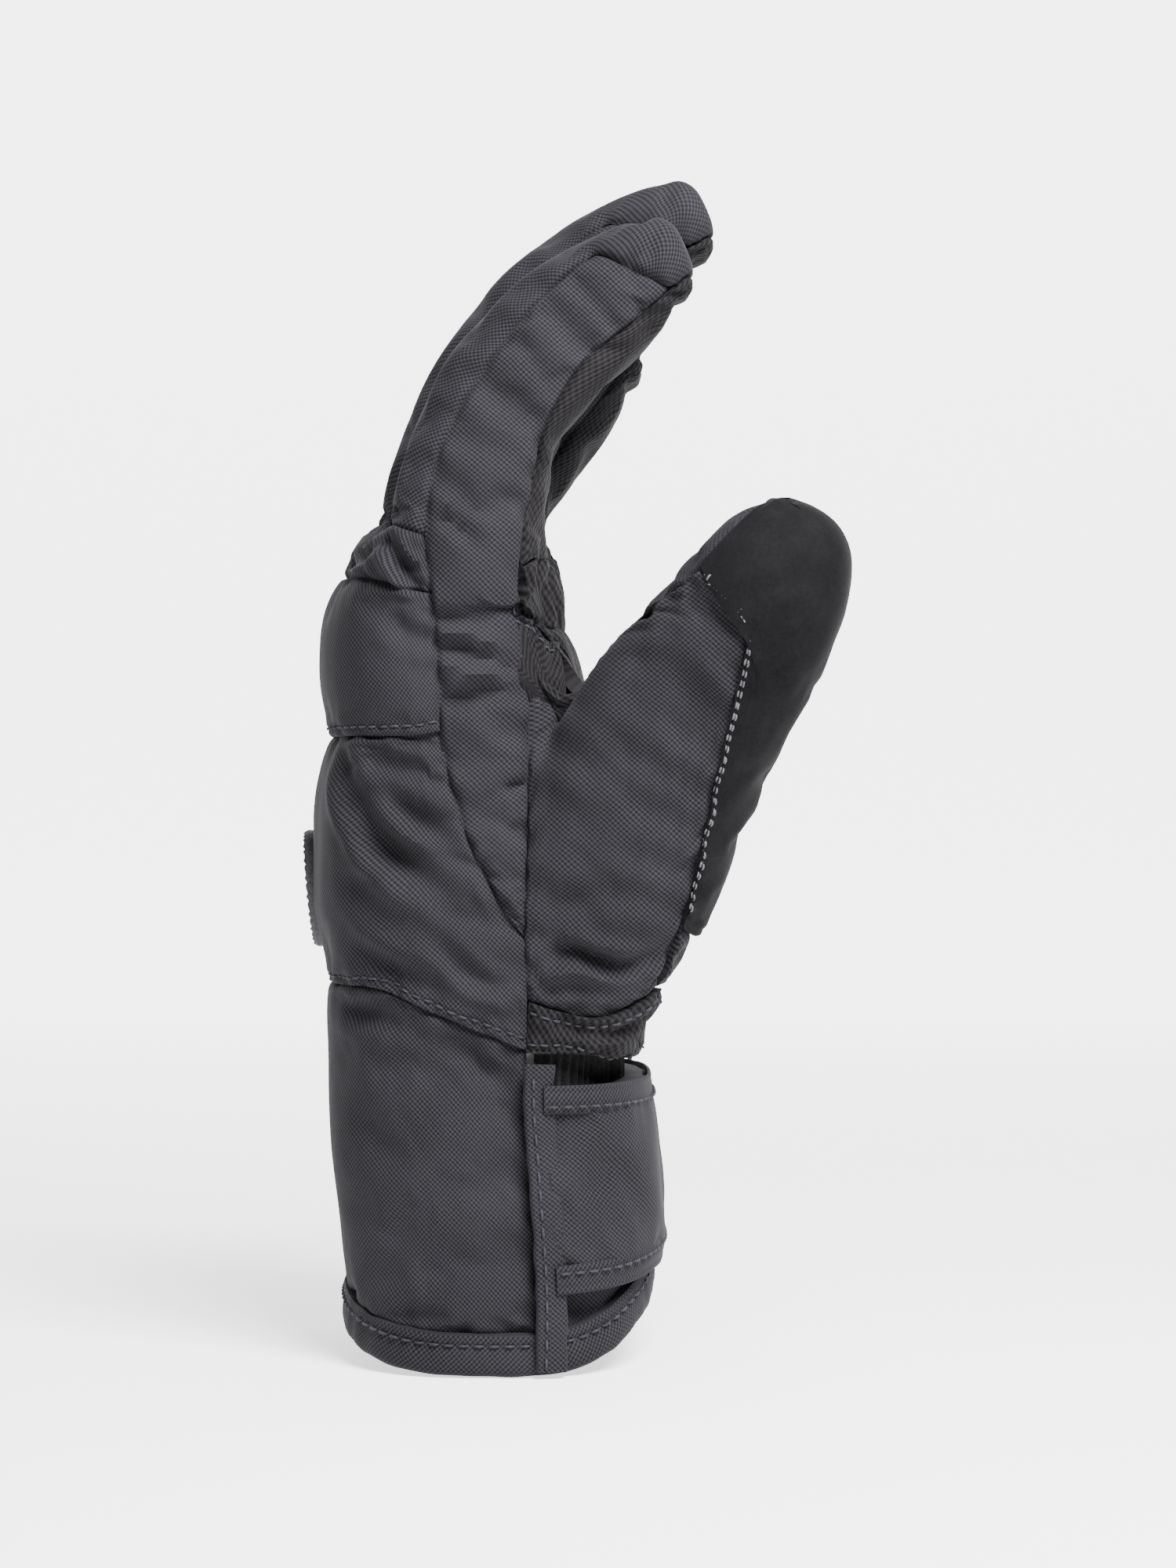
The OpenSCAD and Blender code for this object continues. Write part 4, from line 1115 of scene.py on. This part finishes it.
thumbFront = np.concatenate([thumbFront[:, :1], 0.5 * thumbFront[:, 1:-1] + 0.25
                             * (thumbFront[:, :-2] + thumbFront[:, 2:]), thumbFront[:, -1:]], 1)
panel("thumbFront", thumbFront, whole, {
    "rides": "thumbRoot", "replaces": ["thumb_root_front", "thumb_front"],
    "edges": {"first": "seam", "last": "under", "start": "seam", "end": "under"},
    "slack": 0.04, "pressure": 0.3, "cap": 2.0, "crown": 0.5, "seed": 51, "uneven": 0.4, "cut": "flat"})


def thumbAt(pairs, count=40):  # (length, angle) points on the thumb
    along, angle = smoothLine(np.array(pairs, float), count).T
    return toSkin(fromThumb(along, angle), whole, 6)


def overTip(pairs, count):  # the same, as a curve in space, for lines that cross the thumb's tip
    along, angle = np.array(pairs, float).T
    return toSkin(smoothLine(fromThumb(along, angle), count), whole, 7)


total = thumbRun[-1]
stripTopXz = [(46.4, 185.0), (54.4, 193.6), (62, 199.4), (67, 201.6)]
frontTop2 = seamOnSide(stripTopXz, 30, whole)
stripNear = np.vstack([frontTop[18:], frontTop2[1:]])
stripFar = thumbAt([(78, -158), (90, -150), (105, -140), (120, -135), (135, -135), (total - 5, -142)], 60)
stripMid = thumbAt([(74, -96), (90, -92), (105, -90), (120, -90), (135, -90), (total - 3, -92)], 60)
strip = patch([evenly(stripNear, 60), stripMid, stripFar], 60, 22, whole)
panel("thumbInnerStrip", strip, whole, {
    "rides": "thumbRoot", "replaces": ["thumb_root_inner", "thumb_inner"],
    "edges": {"first": "seam", "last": "seam", "start": "seam", "end": "seam"},
    "slack": 0.03, "pressure": 0.4, "cap": 1.0, "crown": 0.5, "seed": 52, "uneven": 0.3})
lowCut = cutLine(suedeSeam, 2, 107.5)
suedeNear = np.vstack([evenly(frontTop2[::-1], 26), evenly(suedeSeam[:lowCut + 1], 64)[1:]])
outerA = overTip([(total - 4, -85), (total - 0.6, -20), (total - 3, 28), (total - 10, 38), (total - 24, 52),
                  (total - 34, 55)], 26)
outerB = thumbAt([(total - 34, 55), (95, 52), (70, 50), (45, 52), (36, 54)], 64)
backA = overTip([(total - 4, -112), (total - 0.6, 180), (total - 2, 100), (total - 7, 92), (total - 18, 92),
                 (total - 30, 94)], 26)
backB = thumbAt([(total - 30, 94), (90, 94), (65, 94), (42, 94), (33, 93)], 64)
rearA = overTip([(total - 5, -147), (total - 3, 180), (total - 10, 152), (total - 20, 142),
                 (total - 30, 138)], 26)
rearB = thumbAt([(total - 30, 138), (90, 136), (65, 134), (42, 132), (32, 130)], 64)
suede = patch([suedeNear, np.vstack([outerA, outerB[1:]]), np.vstack([backA, backB[1:]]),
               np.vstack([rearA, rearB[1:]])], 89, 44, whole)
panel("thumbSuede", suede, whole, {
    "rides": "thumbRoot", "replaces": ["thumb_root_outer", "thumb_suede"],
    "edges": {"first": "over", "last": "over", "start": "over", "end": "over"},
    "slack": 0.02, "pressure": 0.5, "cap": 1.0, "crown": 0.6, "seed": 53, "material": "suede",
    "slot": "suede", "off": 0.35, "uneven": 0.35})
rearNear = np.vstack([rearA, rearB[1:]])
rearFar = np.vstack([stripFar[::-1], palmThumb[3:]])
rear = patch([evenly(rearNear, 80), thumbAt([(total - 5.2, 214), (total - 20, 160), (100, 158), (70, 155),
                                             (45, 152), (32, 148)], 80),
              thumbAt([(total - 5.2, 216), (total - 20, 184), (100, 182), (70, 178), (50, 172), (36, 165)],
                      80), evenly(rearFar, 80)], 80, 40, whole)
panel("thumbRear", rear, whole, {
    "rides": "thumbRoot", "replaces": ["thumb_root_rear", "thumb_rear"],
    "edges": {"first": "under", "last": "seam", "start": "seam", "end": "none"},
    "slack": 0.04, "pressure": 0.4, "cap": 1.4, "crown": 0.5, "seed": 54, "material": "palm",
    "slot": "palm_cloth", "restsOn": ["insulation_palm"]})
wrapHigh = np.vstack([suede[-1], rear[-1][1:]])
wrapLow = skinPoints(smoothLine(np.vstack([suedeSeam[-1:], [(38.5, -34, 88.3)], [(38.0, -28, 88)],
                                           rear[-1][-1:] + np.array([0.6, 0.6, -0.6])]), 60))
wrap = patch([wrapHigh, skinPoints(0.5 * (evenly(wrapHigh, 60) + evenly(wrapLow, 60))), wrapLow], 60, 16,
             whole).swapaxes(0, 1)
panel("thumbWrap", wrap, whole, {
    "rides": "thumbRoot", "replaces": [], "edges": {"first": "none", "last": "seam", "start": "under",
                                                    "end": "under"},
    "slack": 0.05, "pressure": 0.4, "cap": 1.4, "crown": 0.5, "seed": 55, "cut": "round"})
for inset in (2.2, 4.6):  # the double row on the suede
    line, up = lineOnPanel("thumbSuede", "first", inset, 0.02, 0.96)
    below = np.flatnonzero((line[:, 2] < 184.5 - 0.3 * inset) & (line[:, 2] > 106))
    stitch("thumbRoot", "lightThread", line[below], up[below], long=1.7, gap=0.9, radius=0.26)
print("thumb ready")

# heel and wrist
hemBottom = table([(-180, 15.5), (-150, 10.5), (-130, 5), (-112, 1.5), (-95, 0.2), (-70, 0.8), (-45, 3),
                   (-25, 5.5), (0, 8), (25, 5.5), (45, 3), (70, 0.8),
                   (95, 0.2), (112, 1.5), (130, 5), (150, 10.5), (180, 15.5), (210, 10.5), (230, 5),
                   (250, 1.5), (265, 0.2)])


def tubeGrid(angles, lowZ, highZ, rows, off=0.0):  # rows from high to low, columns by angle
    angles = np.asarray(angles, float)
    low, high = np.broadcast_to(lowZ, angles.shape), np.broadcast_to(highZ, angles.shape)
    t = np.linspace(0, 1, rows)[:, None]
    return handPoint(high * (1 - t) + low * t, np.broadcast_to(angles, (rows, len(angles))), off)


handOnly = gloveField((), thumb=False)
heelNear = seamOnSide([(7.2, 85.6), (14.5, 83.4), (23, 82), (31, 84.6), (37.2, 88.5)], 30, whole)
heelTop = np.vstack([heelNear, skinPoints(handPoint(np.full(40, 88.0), np.linspace(150, 261, 40)))])
heelLow = handPoint(table([(95, 74), (120, 73.5), (140, 72.2), (180, 71), (220, 72),
                           (261, 73.5)])(np.linspace(100, 261, 70)), np.linspace(100, 261, 70), 0.6)
heel = patch([evenly(heelTop, 90), skinPoints(0.5 * (evenly(heelTop, 90) + evenly(heelLow, 90))) + 0.0,
              evenly(heelLow, 90)], 90, 16, whole)
heel[:, -1] = evenly(heelLow, 90)
heel = heel.swapaxes(0, 1)
panel("heel", heel, handOnly, {
    "rides": "hand", "replaces": ["wrist_palm_panel"], "cut": "round",
    "edges": {"first": "seam", "last": "seam", "start": "over", "end": "over"},
    "slack": 0.07, "pressure": 0.8, "cap": 2.0, "crown": 1.1, "seed": 61, "material": "palm",
    "slot": "palm_cloth", "off": 0.3, "restsOn": ["insulation_palm"]})


def gathered(piece, angles, z, period, deep, off):  # cloth drawn up by elastic: pleats round the wrist
    grid = tubeGrid(angles, z[0], z[1], 14, off)
    turn = np.linspace(0, 1, 14)[:, None]
    wave = deep * np.sin(np.asarray(angles) * 2 * np.pi / period + 0.9
                         * wander(np.asarray(angles), 5, 30)) * (0.4 + 0.6 * turn)
    return grid + normalsOf(grid, faceSigns(grid, handOnly)) * wave[..., None]


elastic = gathered("wristElastic", np.linspace(104, 256, 200), (63.5, 75), 4.2, 0.8, -2.2)
panel("wristElastic", elastic, handOnly, {
    "rides": "hand", "replaces": ["wrist_elastic"], "edges": {}, "crown": 0, "uneven": 0.2,
    "material": "elastic", "slot": "elastic",
    "thickness": 1.2, "held": "gathered", "finer": 1.0, "restsOn": ["insulation_palm"], "folds": False})
tab = tubeGrid(np.linspace(198, 214, 14), 73.0, 86.0, 14, 1.2)
panel("heelTab", tab, handOnly, {
    "rides": "hand", "replaces": ["heel_tab"], "edges": {"first": "over", "last": "over", "start": "over",
        "end": "over"}, "crown": 0.3,
    "material": "binding", "slot": "binding", "thickness": 1.4, "uneven": 0.1, "pucker": 0.1, "folds": False,
    "soft": "trim"})
print("wrist ready")

# cuff
cuffTop = lowerBack[-1]
cuffAngles = np.linspace(101, -99, 96)
bottom = hemBottom(cuffAngles) + 9.0
cuffRows = 62
cuffLow = handPoint(bottom, cuffAngles)
t = np.linspace(0, 1, cuffRows)[:, None, None]
cuffGrid = cuffTop[None] * (1 - t) + cuffLow[None] * t
cuffGrid = toSkin(cuffGrid, handOnly, 6)
panel("cuffBack", cuffGrid, handOnly, {
    "rides": "hand", "replaces": ["cuff_back"], "cut": "round",
    "edges": {"first": "seam", "last": "seam", "start": "under", "end": "under"},
    "slack": 0.035, "pressure": 0.35, "cap": 2.0, "crown": 0.5, "seed": 71, "uneven": 0.45, "unevenSize": 30})
cuffPalm = tubeGrid(np.linspace(99, 261, 84), hemBottom(np.linspace(99, 261, 84)) + 8.0, 65.0, 50)
panel("cuffPalm", cuffPalm, handOnly, {
    "rides": "hand", "replaces": ["cuff_palm"], "cut": "round",
    "edges": {"first": "seam", "last": "seam", "start": "none", "end": "under"},
    "slack": 0.035, "pressure": 0.2, "cap": 1.2, "crown": 0.2, "seed": 72, "uneven": 0.4, "off": -0.8,
    "restsOn": ["insulation_palm"]})


def sweep(name, path, up, profile, rides, slot, material, replaces, closed=False, seed=1, ripple=0.12,
          flip=False):
    # a profile in (up, sideways) carried along a path
    t = np.gradient(path, axis=0)
    if closed:
        t = np.roll(path, -1, 0) - np.roll(path, 1, 0)
    t /= np.linalg.norm(t, axis=1)[:, None]
    u = up - t * (up * t).sum(1)[:, None]
    u /= np.linalg.norm(u, axis=1)[:, None]
    b = np.cross(t, u)
    shape = np.asarray(profile, float)
    grid = path[:, None] + u[:, None] * shape[None, :, :1] + b[:, None] * shape[None, :, 1:]
    run = np.concatenate([[0], np.cumsum(np.linalg.norm(np.diff(path, axis=0), axis=1))])
    centre = grid.mean(1, keepdims=True)
    way = grid - centre
    grid = grid + way / np.linalg.norm(way, axis=2, keepdims=True) * (ripple * softNoise(grid, 7, seed))[...,
        None]
    n, m = grid.shape[:2]
    faces = quadFaces(n, m, not flip, wrapCols=True, wrapRows=closed).tolist()
    if not closed:
        caps = [list(range(m)), list(range(n * m - 1, n * m - m - 1, -1))]
        faces += [c[::-1] for c in caps] if flip else caps
    girth = np.concatenate([[0], np.cumsum(np.linalg.norm(np.diff(shape, axis=0), axis=1))])
    uv = np.stack([np.broadcast_to(girth, (n, m)), np.broadcast_to(run[:, None], (n, m))], -1).reshape(-1, 2)
    piece = addMesh(name, grid.reshape(-1, 3), faces, uv, sharp=50)
    attach(piece, rides)
    if replaces:
        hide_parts(*replaces)
    piece.data.materials.append(materials[material])
    return piece, run[-1] / 1000


# a flat tape folded over an edge, rounded at its sides, pressed down under its stitches
def foldedTape(width, thick, stitchAt=None, count=18):
    x = np.concatenate([np.linspace(-width / 2, width / 2, count), np.linspace(width / 2, -width / 2, count)])
    edge = np.clip(1 - (np.abs(x) / (width / 2)) ** 4, 0, 1) ** 0.5
    top = thick * (0.35 + 0.65 * edge)
    if stitchAt is not None:
        top = top - 0.3 * np.exp(-((x - stitchAt) / 0.6) ** 2)
    y = np.where(np.arange(2 * count) < count, top, -thick * 0.25)
    return np.stack([y, x], 1)


ringAngles = np.linspace(0, 360, 240, endpoint=False)
hemZ = hemBottom((ringAngles + 180) % 360 - 180)
hemPath = handPoint(hemZ + 5.0, ringAngles, 0.2)
hemOut = handPoint(hemZ + 5.0, ringAngles, 2.0) - handPoint(hemZ + 5.0, ringAngles, 0.0)
hem, hemLong = sweep("hemBinding", hemPath, hemOut, np.array([
    (2.0, -4.6), (2.3, -3.6), (2.15, -2.6), (1.85, -2.0), (2.2, -1.2), (2.5, 0.5), (2.5, 2.5), (2.2, 4.0),
    (1.3, 4.9), (0.2, 5.0), (-0.8, 5.0), (-1.9, 4.6), (-2.6, 3.5),
    (-2.8, 1.5), (-2.8, -1.5), (-2.6, -3.6), (-2.0, -4.6), (0, -4.9)]), "hand", "binding", "shell",
    ["hem_binding"], closed=True, seed=3, ripple=0.12, flip=False)
line = handPoint(hemZ + 5.0 + 2.2, ringAngles, 2.35)
stitch("hand", "darkThread", np.vstack([line, line[:1]]), np.vstack([hemOut, hemOut[:1]]), long=2.4, gap=1.1)
# the edging strip down the thumb side of the cuff
stripZ = np.linspace(71.5, 1.5, 60)
edgePath = handPoint(stripZ, 103.0 + 0 * stripZ, 3.0)
edgeUp = handPoint(stripZ, 103.0 + 0 * stripZ, 5.0) - edgePath
sweep("sideBinding", edgePath, edgeUp, foldedTape(7.4, 1.3, 1.9), "hand", "binding", "shell",
      ["side_binding"], seed=6, ripple=0.16)
line = handPoint(stripZ, 100.8 + 0 * stripZ, 4.4)
stitch("hand", "darkThread", line[2:], edgeUp[2:], long=2.8, gap=1.4)
print("cuff ready")

# closure flap
flapAngles = np.linspace(104, 252, 110)
flapLow = table([(104, 19.5), (130, 20.5), (160, 22.5), (200, 23.5), (252, 22)])(flapAngles)
flapGrid = tubeGrid(flapAngles, flapLow, 66.0, 42, 3.6)
flapOff = np.clip((flapAngles - 104) / 8, 0, 1)[None, :, None]
flapGrid = tubeGrid(flapAngles, flapLow, 66.0, 42, 2.4) * (1 - flapOff) + flapGrid * flapOff
panel("flap", flapGrid, handOnly, {
    "rides": "flapSide", "replaces": ["flap_panel"], "cut": "round",
    "edges": {"first": "none", "last": "over", "start": "under", "end": "under"},
    "slack": 0.03, "pressure": 0.3, "cap": 1.6, "crown": 0.9, "seed": 81, "uneven": 0.5, "thickness": 2.2,
    "folds": False, "restsOn": ["loop_patch"]})
for label, zs, offset in (("flapBindingTop", np.full(110, 63.4), 1), ("flapBindingLow", flapLow + 3.0, -1)):
    path = handPoint(zs, flapAngles, 4.3)
    up = handPoint(zs, flapAngles, 6.3) - path
    sweep(label, path, up, foldedTape(6.6, 0.9, -1.8 * offset), "flapSide", "binding", "shell",
          ["flap_binding"] if offset == 1 else [], seed=9, ripple=0.1)
    line = handPoint(zs - 1.7 * offset * 0.9, flapAngles, 5.55)
    stitch("flapSide", "darkThread", line, up, long=2.4, gap=1.1)
hook = tubeGrid(np.linspace(216, 248, 40), 29, 57, 30, 1.9)
panel("hookPatch", hook, handOnly, {"rides": "flap", "replaces": ["hook_patch"], "edges": {}, "crown": 0,
                                    "uneven": 0.1, "material": "hook", "slot": "hook_tape",
                                    "thickness": 0.9, "folds": False, "restsOn": ["loop_patch"]})
loop = tubeGrid(np.linspace(213, 251, 44), 27, 60, 34, 0.9)
panel("loopPatch", loop, handOnly, {"rides": "hand", "replaces": ["loop_patch"], "edges": {}, "crown": 0,
                                    "uneven": 0.15, "material": "loop", "slot": "loop_tape",
                                    "thickness": 1.0, "folds": False, "restsOn": ["insulation_palm"]})
print("flap ready")

# badge on the back
badge = {"z": 110.7, "half": 13.6, "halfWide": 13.6, "off": 2.2}
turn = np.linspace(0, 2 * np.pi, 96, endpoint=False)
ringShare = np.array([0.02, 0.3, 0.6, 0.86, 0.93, 0.97, 1.0, 1.04, 1.02])
ringLift = np.array([1.5, 1.5, 1.5, 1.5, 2.0, 2.4, 2.5, 1.4, -1.5])
cloud = []
for share, lift in zip(ringShare, ringLift):
    z = badge["z"] + badge["half"] * share * np.sin(turn)
    y = badge["halfWide"] * share * np.cos(turn)
    lash = 0.25 * np.sin(turn * 58) * (share > 0.9)
    cloud.append(np.stack([-(lift + lash), y, z], -1))
cloud = np.array(cloud)
back = surfaces["lowerBack"][0].reshape(-1, 3)
back = back[(np.abs(back[:, 1]) < 20) & (np.abs(back[:, 2] - badge["z"]) < 20)]
# it lies on the finished cloth, on the plane x = a + b y + c z + d y y that best fits the cloth under it
fit = lambda y, z: np.stack([1 + 0 * y, y, z - badge["z"], y * y], -1)
flatten = np.linalg.lstsq(fit(back[:, 1], back[:, 2]), back[:, 0], rcond=None)[0]
cloud[..., 0] += fit(cloud[..., 1], cloud[..., 2]) @ flatten - 0.5
faces = quadFaces(len(cloud), 96, False, wrapCols=True).tolist() + [list(range(96))]
faces += [list(range((len(cloud) - 1) * 96 + 95, (len(cloud) - 1) * 96 - 1, -1))]
piece = addMesh("badge", cloud.reshape(-1, 3), faces, sharp=70)
attach(piece, "hand")
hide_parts("badge_patch")
piece.data.materials.append(materials["badge"])

# stitch rows on the shell
for label, side, a, b in (("lowerBack", "end", 0.0, 1.0), ("knucklePad", "end", 0.02, 0.98),
                          ("crotchPatch", "start", 0.0, 0.6), ("heel", "end", 0.0, 1.0),
                          ("heel", "start", 0.0, 1.0)):
    line, up = lineOnPanel(label, side, 2.3, a, b)
    stitch("thumbRoot" if label == "crotchPatch" else "hand", "darkThread", line, up)
print("stitches ready")

# inner layers
def innerShell(name, off, zs, angles, thickness, material, replaces, wall=0.25, soft=None):
    grid = tubeGrid(np.linspace(*angles, 90), zs[0], zs[1], 60, off)
    grid = grid + normalsOf(grid, faceSigns(grid, handOnly)) * (wall * softNoise(grid, 9, 3))[..., None]
    sign = faceSigns(grid, handOnly)
    across, down, _ = edgeDistances(grid)
    uv = np.stack([across, down], -1).reshape(-1, 2)
    piece = closedShell(name, grid, normalsOf(grid, sign), thickness, uv, flip=sign < 0)
    attach(piece, "hand")
    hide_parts(*replaces)
    piece.data.materials.append(materials[material])


innerShell("liningCuff", -6.6, (6, 78), (-180, 180), 1.4, "fleece", ["cuff_lining"])
innerShell("liningBack", -8.0, (78.5, 180), (-99, 99), 1.4, "fleece", ["lining_back"])
innerShell("liningPalm", -8.0, (78.5, 180), (100, 260), 1.4, "fleece", ["lining_palm"])
innerShell("insulationBack", -3.6, (13, 182), (-99, 99), 2.6, "wadding", ["insulation_back"])
innerShell("insulationPalm", -3.6, (20, 182), (100, 260), 2.6, "wadding", ["insulation_palm"])
innerShell("knuckleFoam", -2.2, (150, 178), (-70, 70), 1.0, "foam", ["knuckle_foam"], wall=0.05)
print("inner layers ready")

# camera, light and stage
heapToPieces()
def stageSheet():  # a floor that curves up into a wall behind the glove
    x = np.linspace(-3, 3, 3)
    turn = np.linspace(0, math.pi / 2, 24)
    y = np.concatenate([[-0.75], 1.6 + 0.8 * np.sin(turn), [2.4]])
    z = np.concatenate([[0.0], 0.8 - 0.8 * np.cos(turn), [2.6]])
    grid = np.stack([np.broadcast_to(x, (len(y), 3)), np.repeat(y[:, None], 3, 1),
                     np.repeat(z[:, None], 3, 1)], -1)
    mesh = bpy.data.meshes.new("studioSweep")
    mesh.from_pydata(grid.reshape(-1, 3).tolist(), [], quadFaces(len(y), 3, False).tolist())
    mesh.polygons.foreach_set("use_smooth", np.ones(len(mesh.polygons), bool))
    sweep = bpy.data.objects.new("studioSweep", mesh)
    bpy.context.scene.collection.objects.link(sweep)
    paint = bpy.data.materials.new("studioPaperMatt")
    paint.use_nodes = True
    shader = paint.node_tree.nodes["Principled BSDF"]
    shader.inputs["Base Color"].default_value = fromHex("#e6e6e6")
    shader.inputs["Roughness"].default_value = 1.0
    shader.inputs["Specular IOR Level"].default_value = 0.0
    shader.inputs["Emission Color"].default_value = fromHex("#ffffff")
    tree = paint.node_tree
    depth = addNode(tree, "ShaderNodeSeparateXYZ", None,
                    {0: addNode(tree, "ShaderNodeTexCoord").outputs["Object"]}).outputs[1]
    glow = addNode(tree, "ShaderNodeMapRange", {"interpolation_type": "SMOOTHSTEP"},
                   {0: depth, 1: -0.3, 2: 1.5, 3: studio["floorGlow"], 4: studio["wallGlow"]})
    tree.links.new(glow.outputs[0], shader.inputs["Emission Strength"])
    mesh.materials.append(paint)


studio = {"world": 0.5, "floorGlow": 1.2, "wallGlow": 3.5, "key": 36.0, "fill": 0.5, "top": 3.0}
stageSheet()


def softLight(name, place, aim, size, power):
    data = bpy.data.lights.new(name, "AREA")
    data.shape, data.size, data.energy = "DISK", size, power
    lamp = bpy.data.objects.new(name, data)
    lamp.location = place
    way = np.array(aim) - np.array(place)
    lamp.rotation_euler = Vector(way).to_track_quat("-Z", "Y").to_euler()
    bpy.context.scene.collection.objects.link(lamp)


softLight("keyRight", (0.26, -0.5, 0.72), (0.02, 0.0, 0.22), 0.45, studio["key"])
softLight("fillLeft", (-1.2, -1.1, 0.5), (0.0, 0.0, 0.12), 1.2, studio["fill"])
softLight("top", (0.1, 0.1, 1.6), (0.0, 0.0, 0.1), 1.2, studio["top"])
world = bpy.data.worlds.new("studio")
bpy.context.scene.world = world
world.use_nodes = True
world.node_tree.nodes["Background"].inputs[0].default_value = fromHex("#f2f2f4")
world.node_tree.nodes["Background"].inputs[1].default_value = studio["world"]
lens = bpy.data.cameras.new("camera")
lens.lens, lens.sensor_width = 86.0, 36.0
camera = bpy.data.objects.new("camera", lens)
camera.location = (0.0207, -0.908, 0.1359)
camera.rotation_euler = (math.pi / 2, 0, 0)
bpy.context.scene.collection.objects.link(camera)
bpy.context.scene.camera = camera
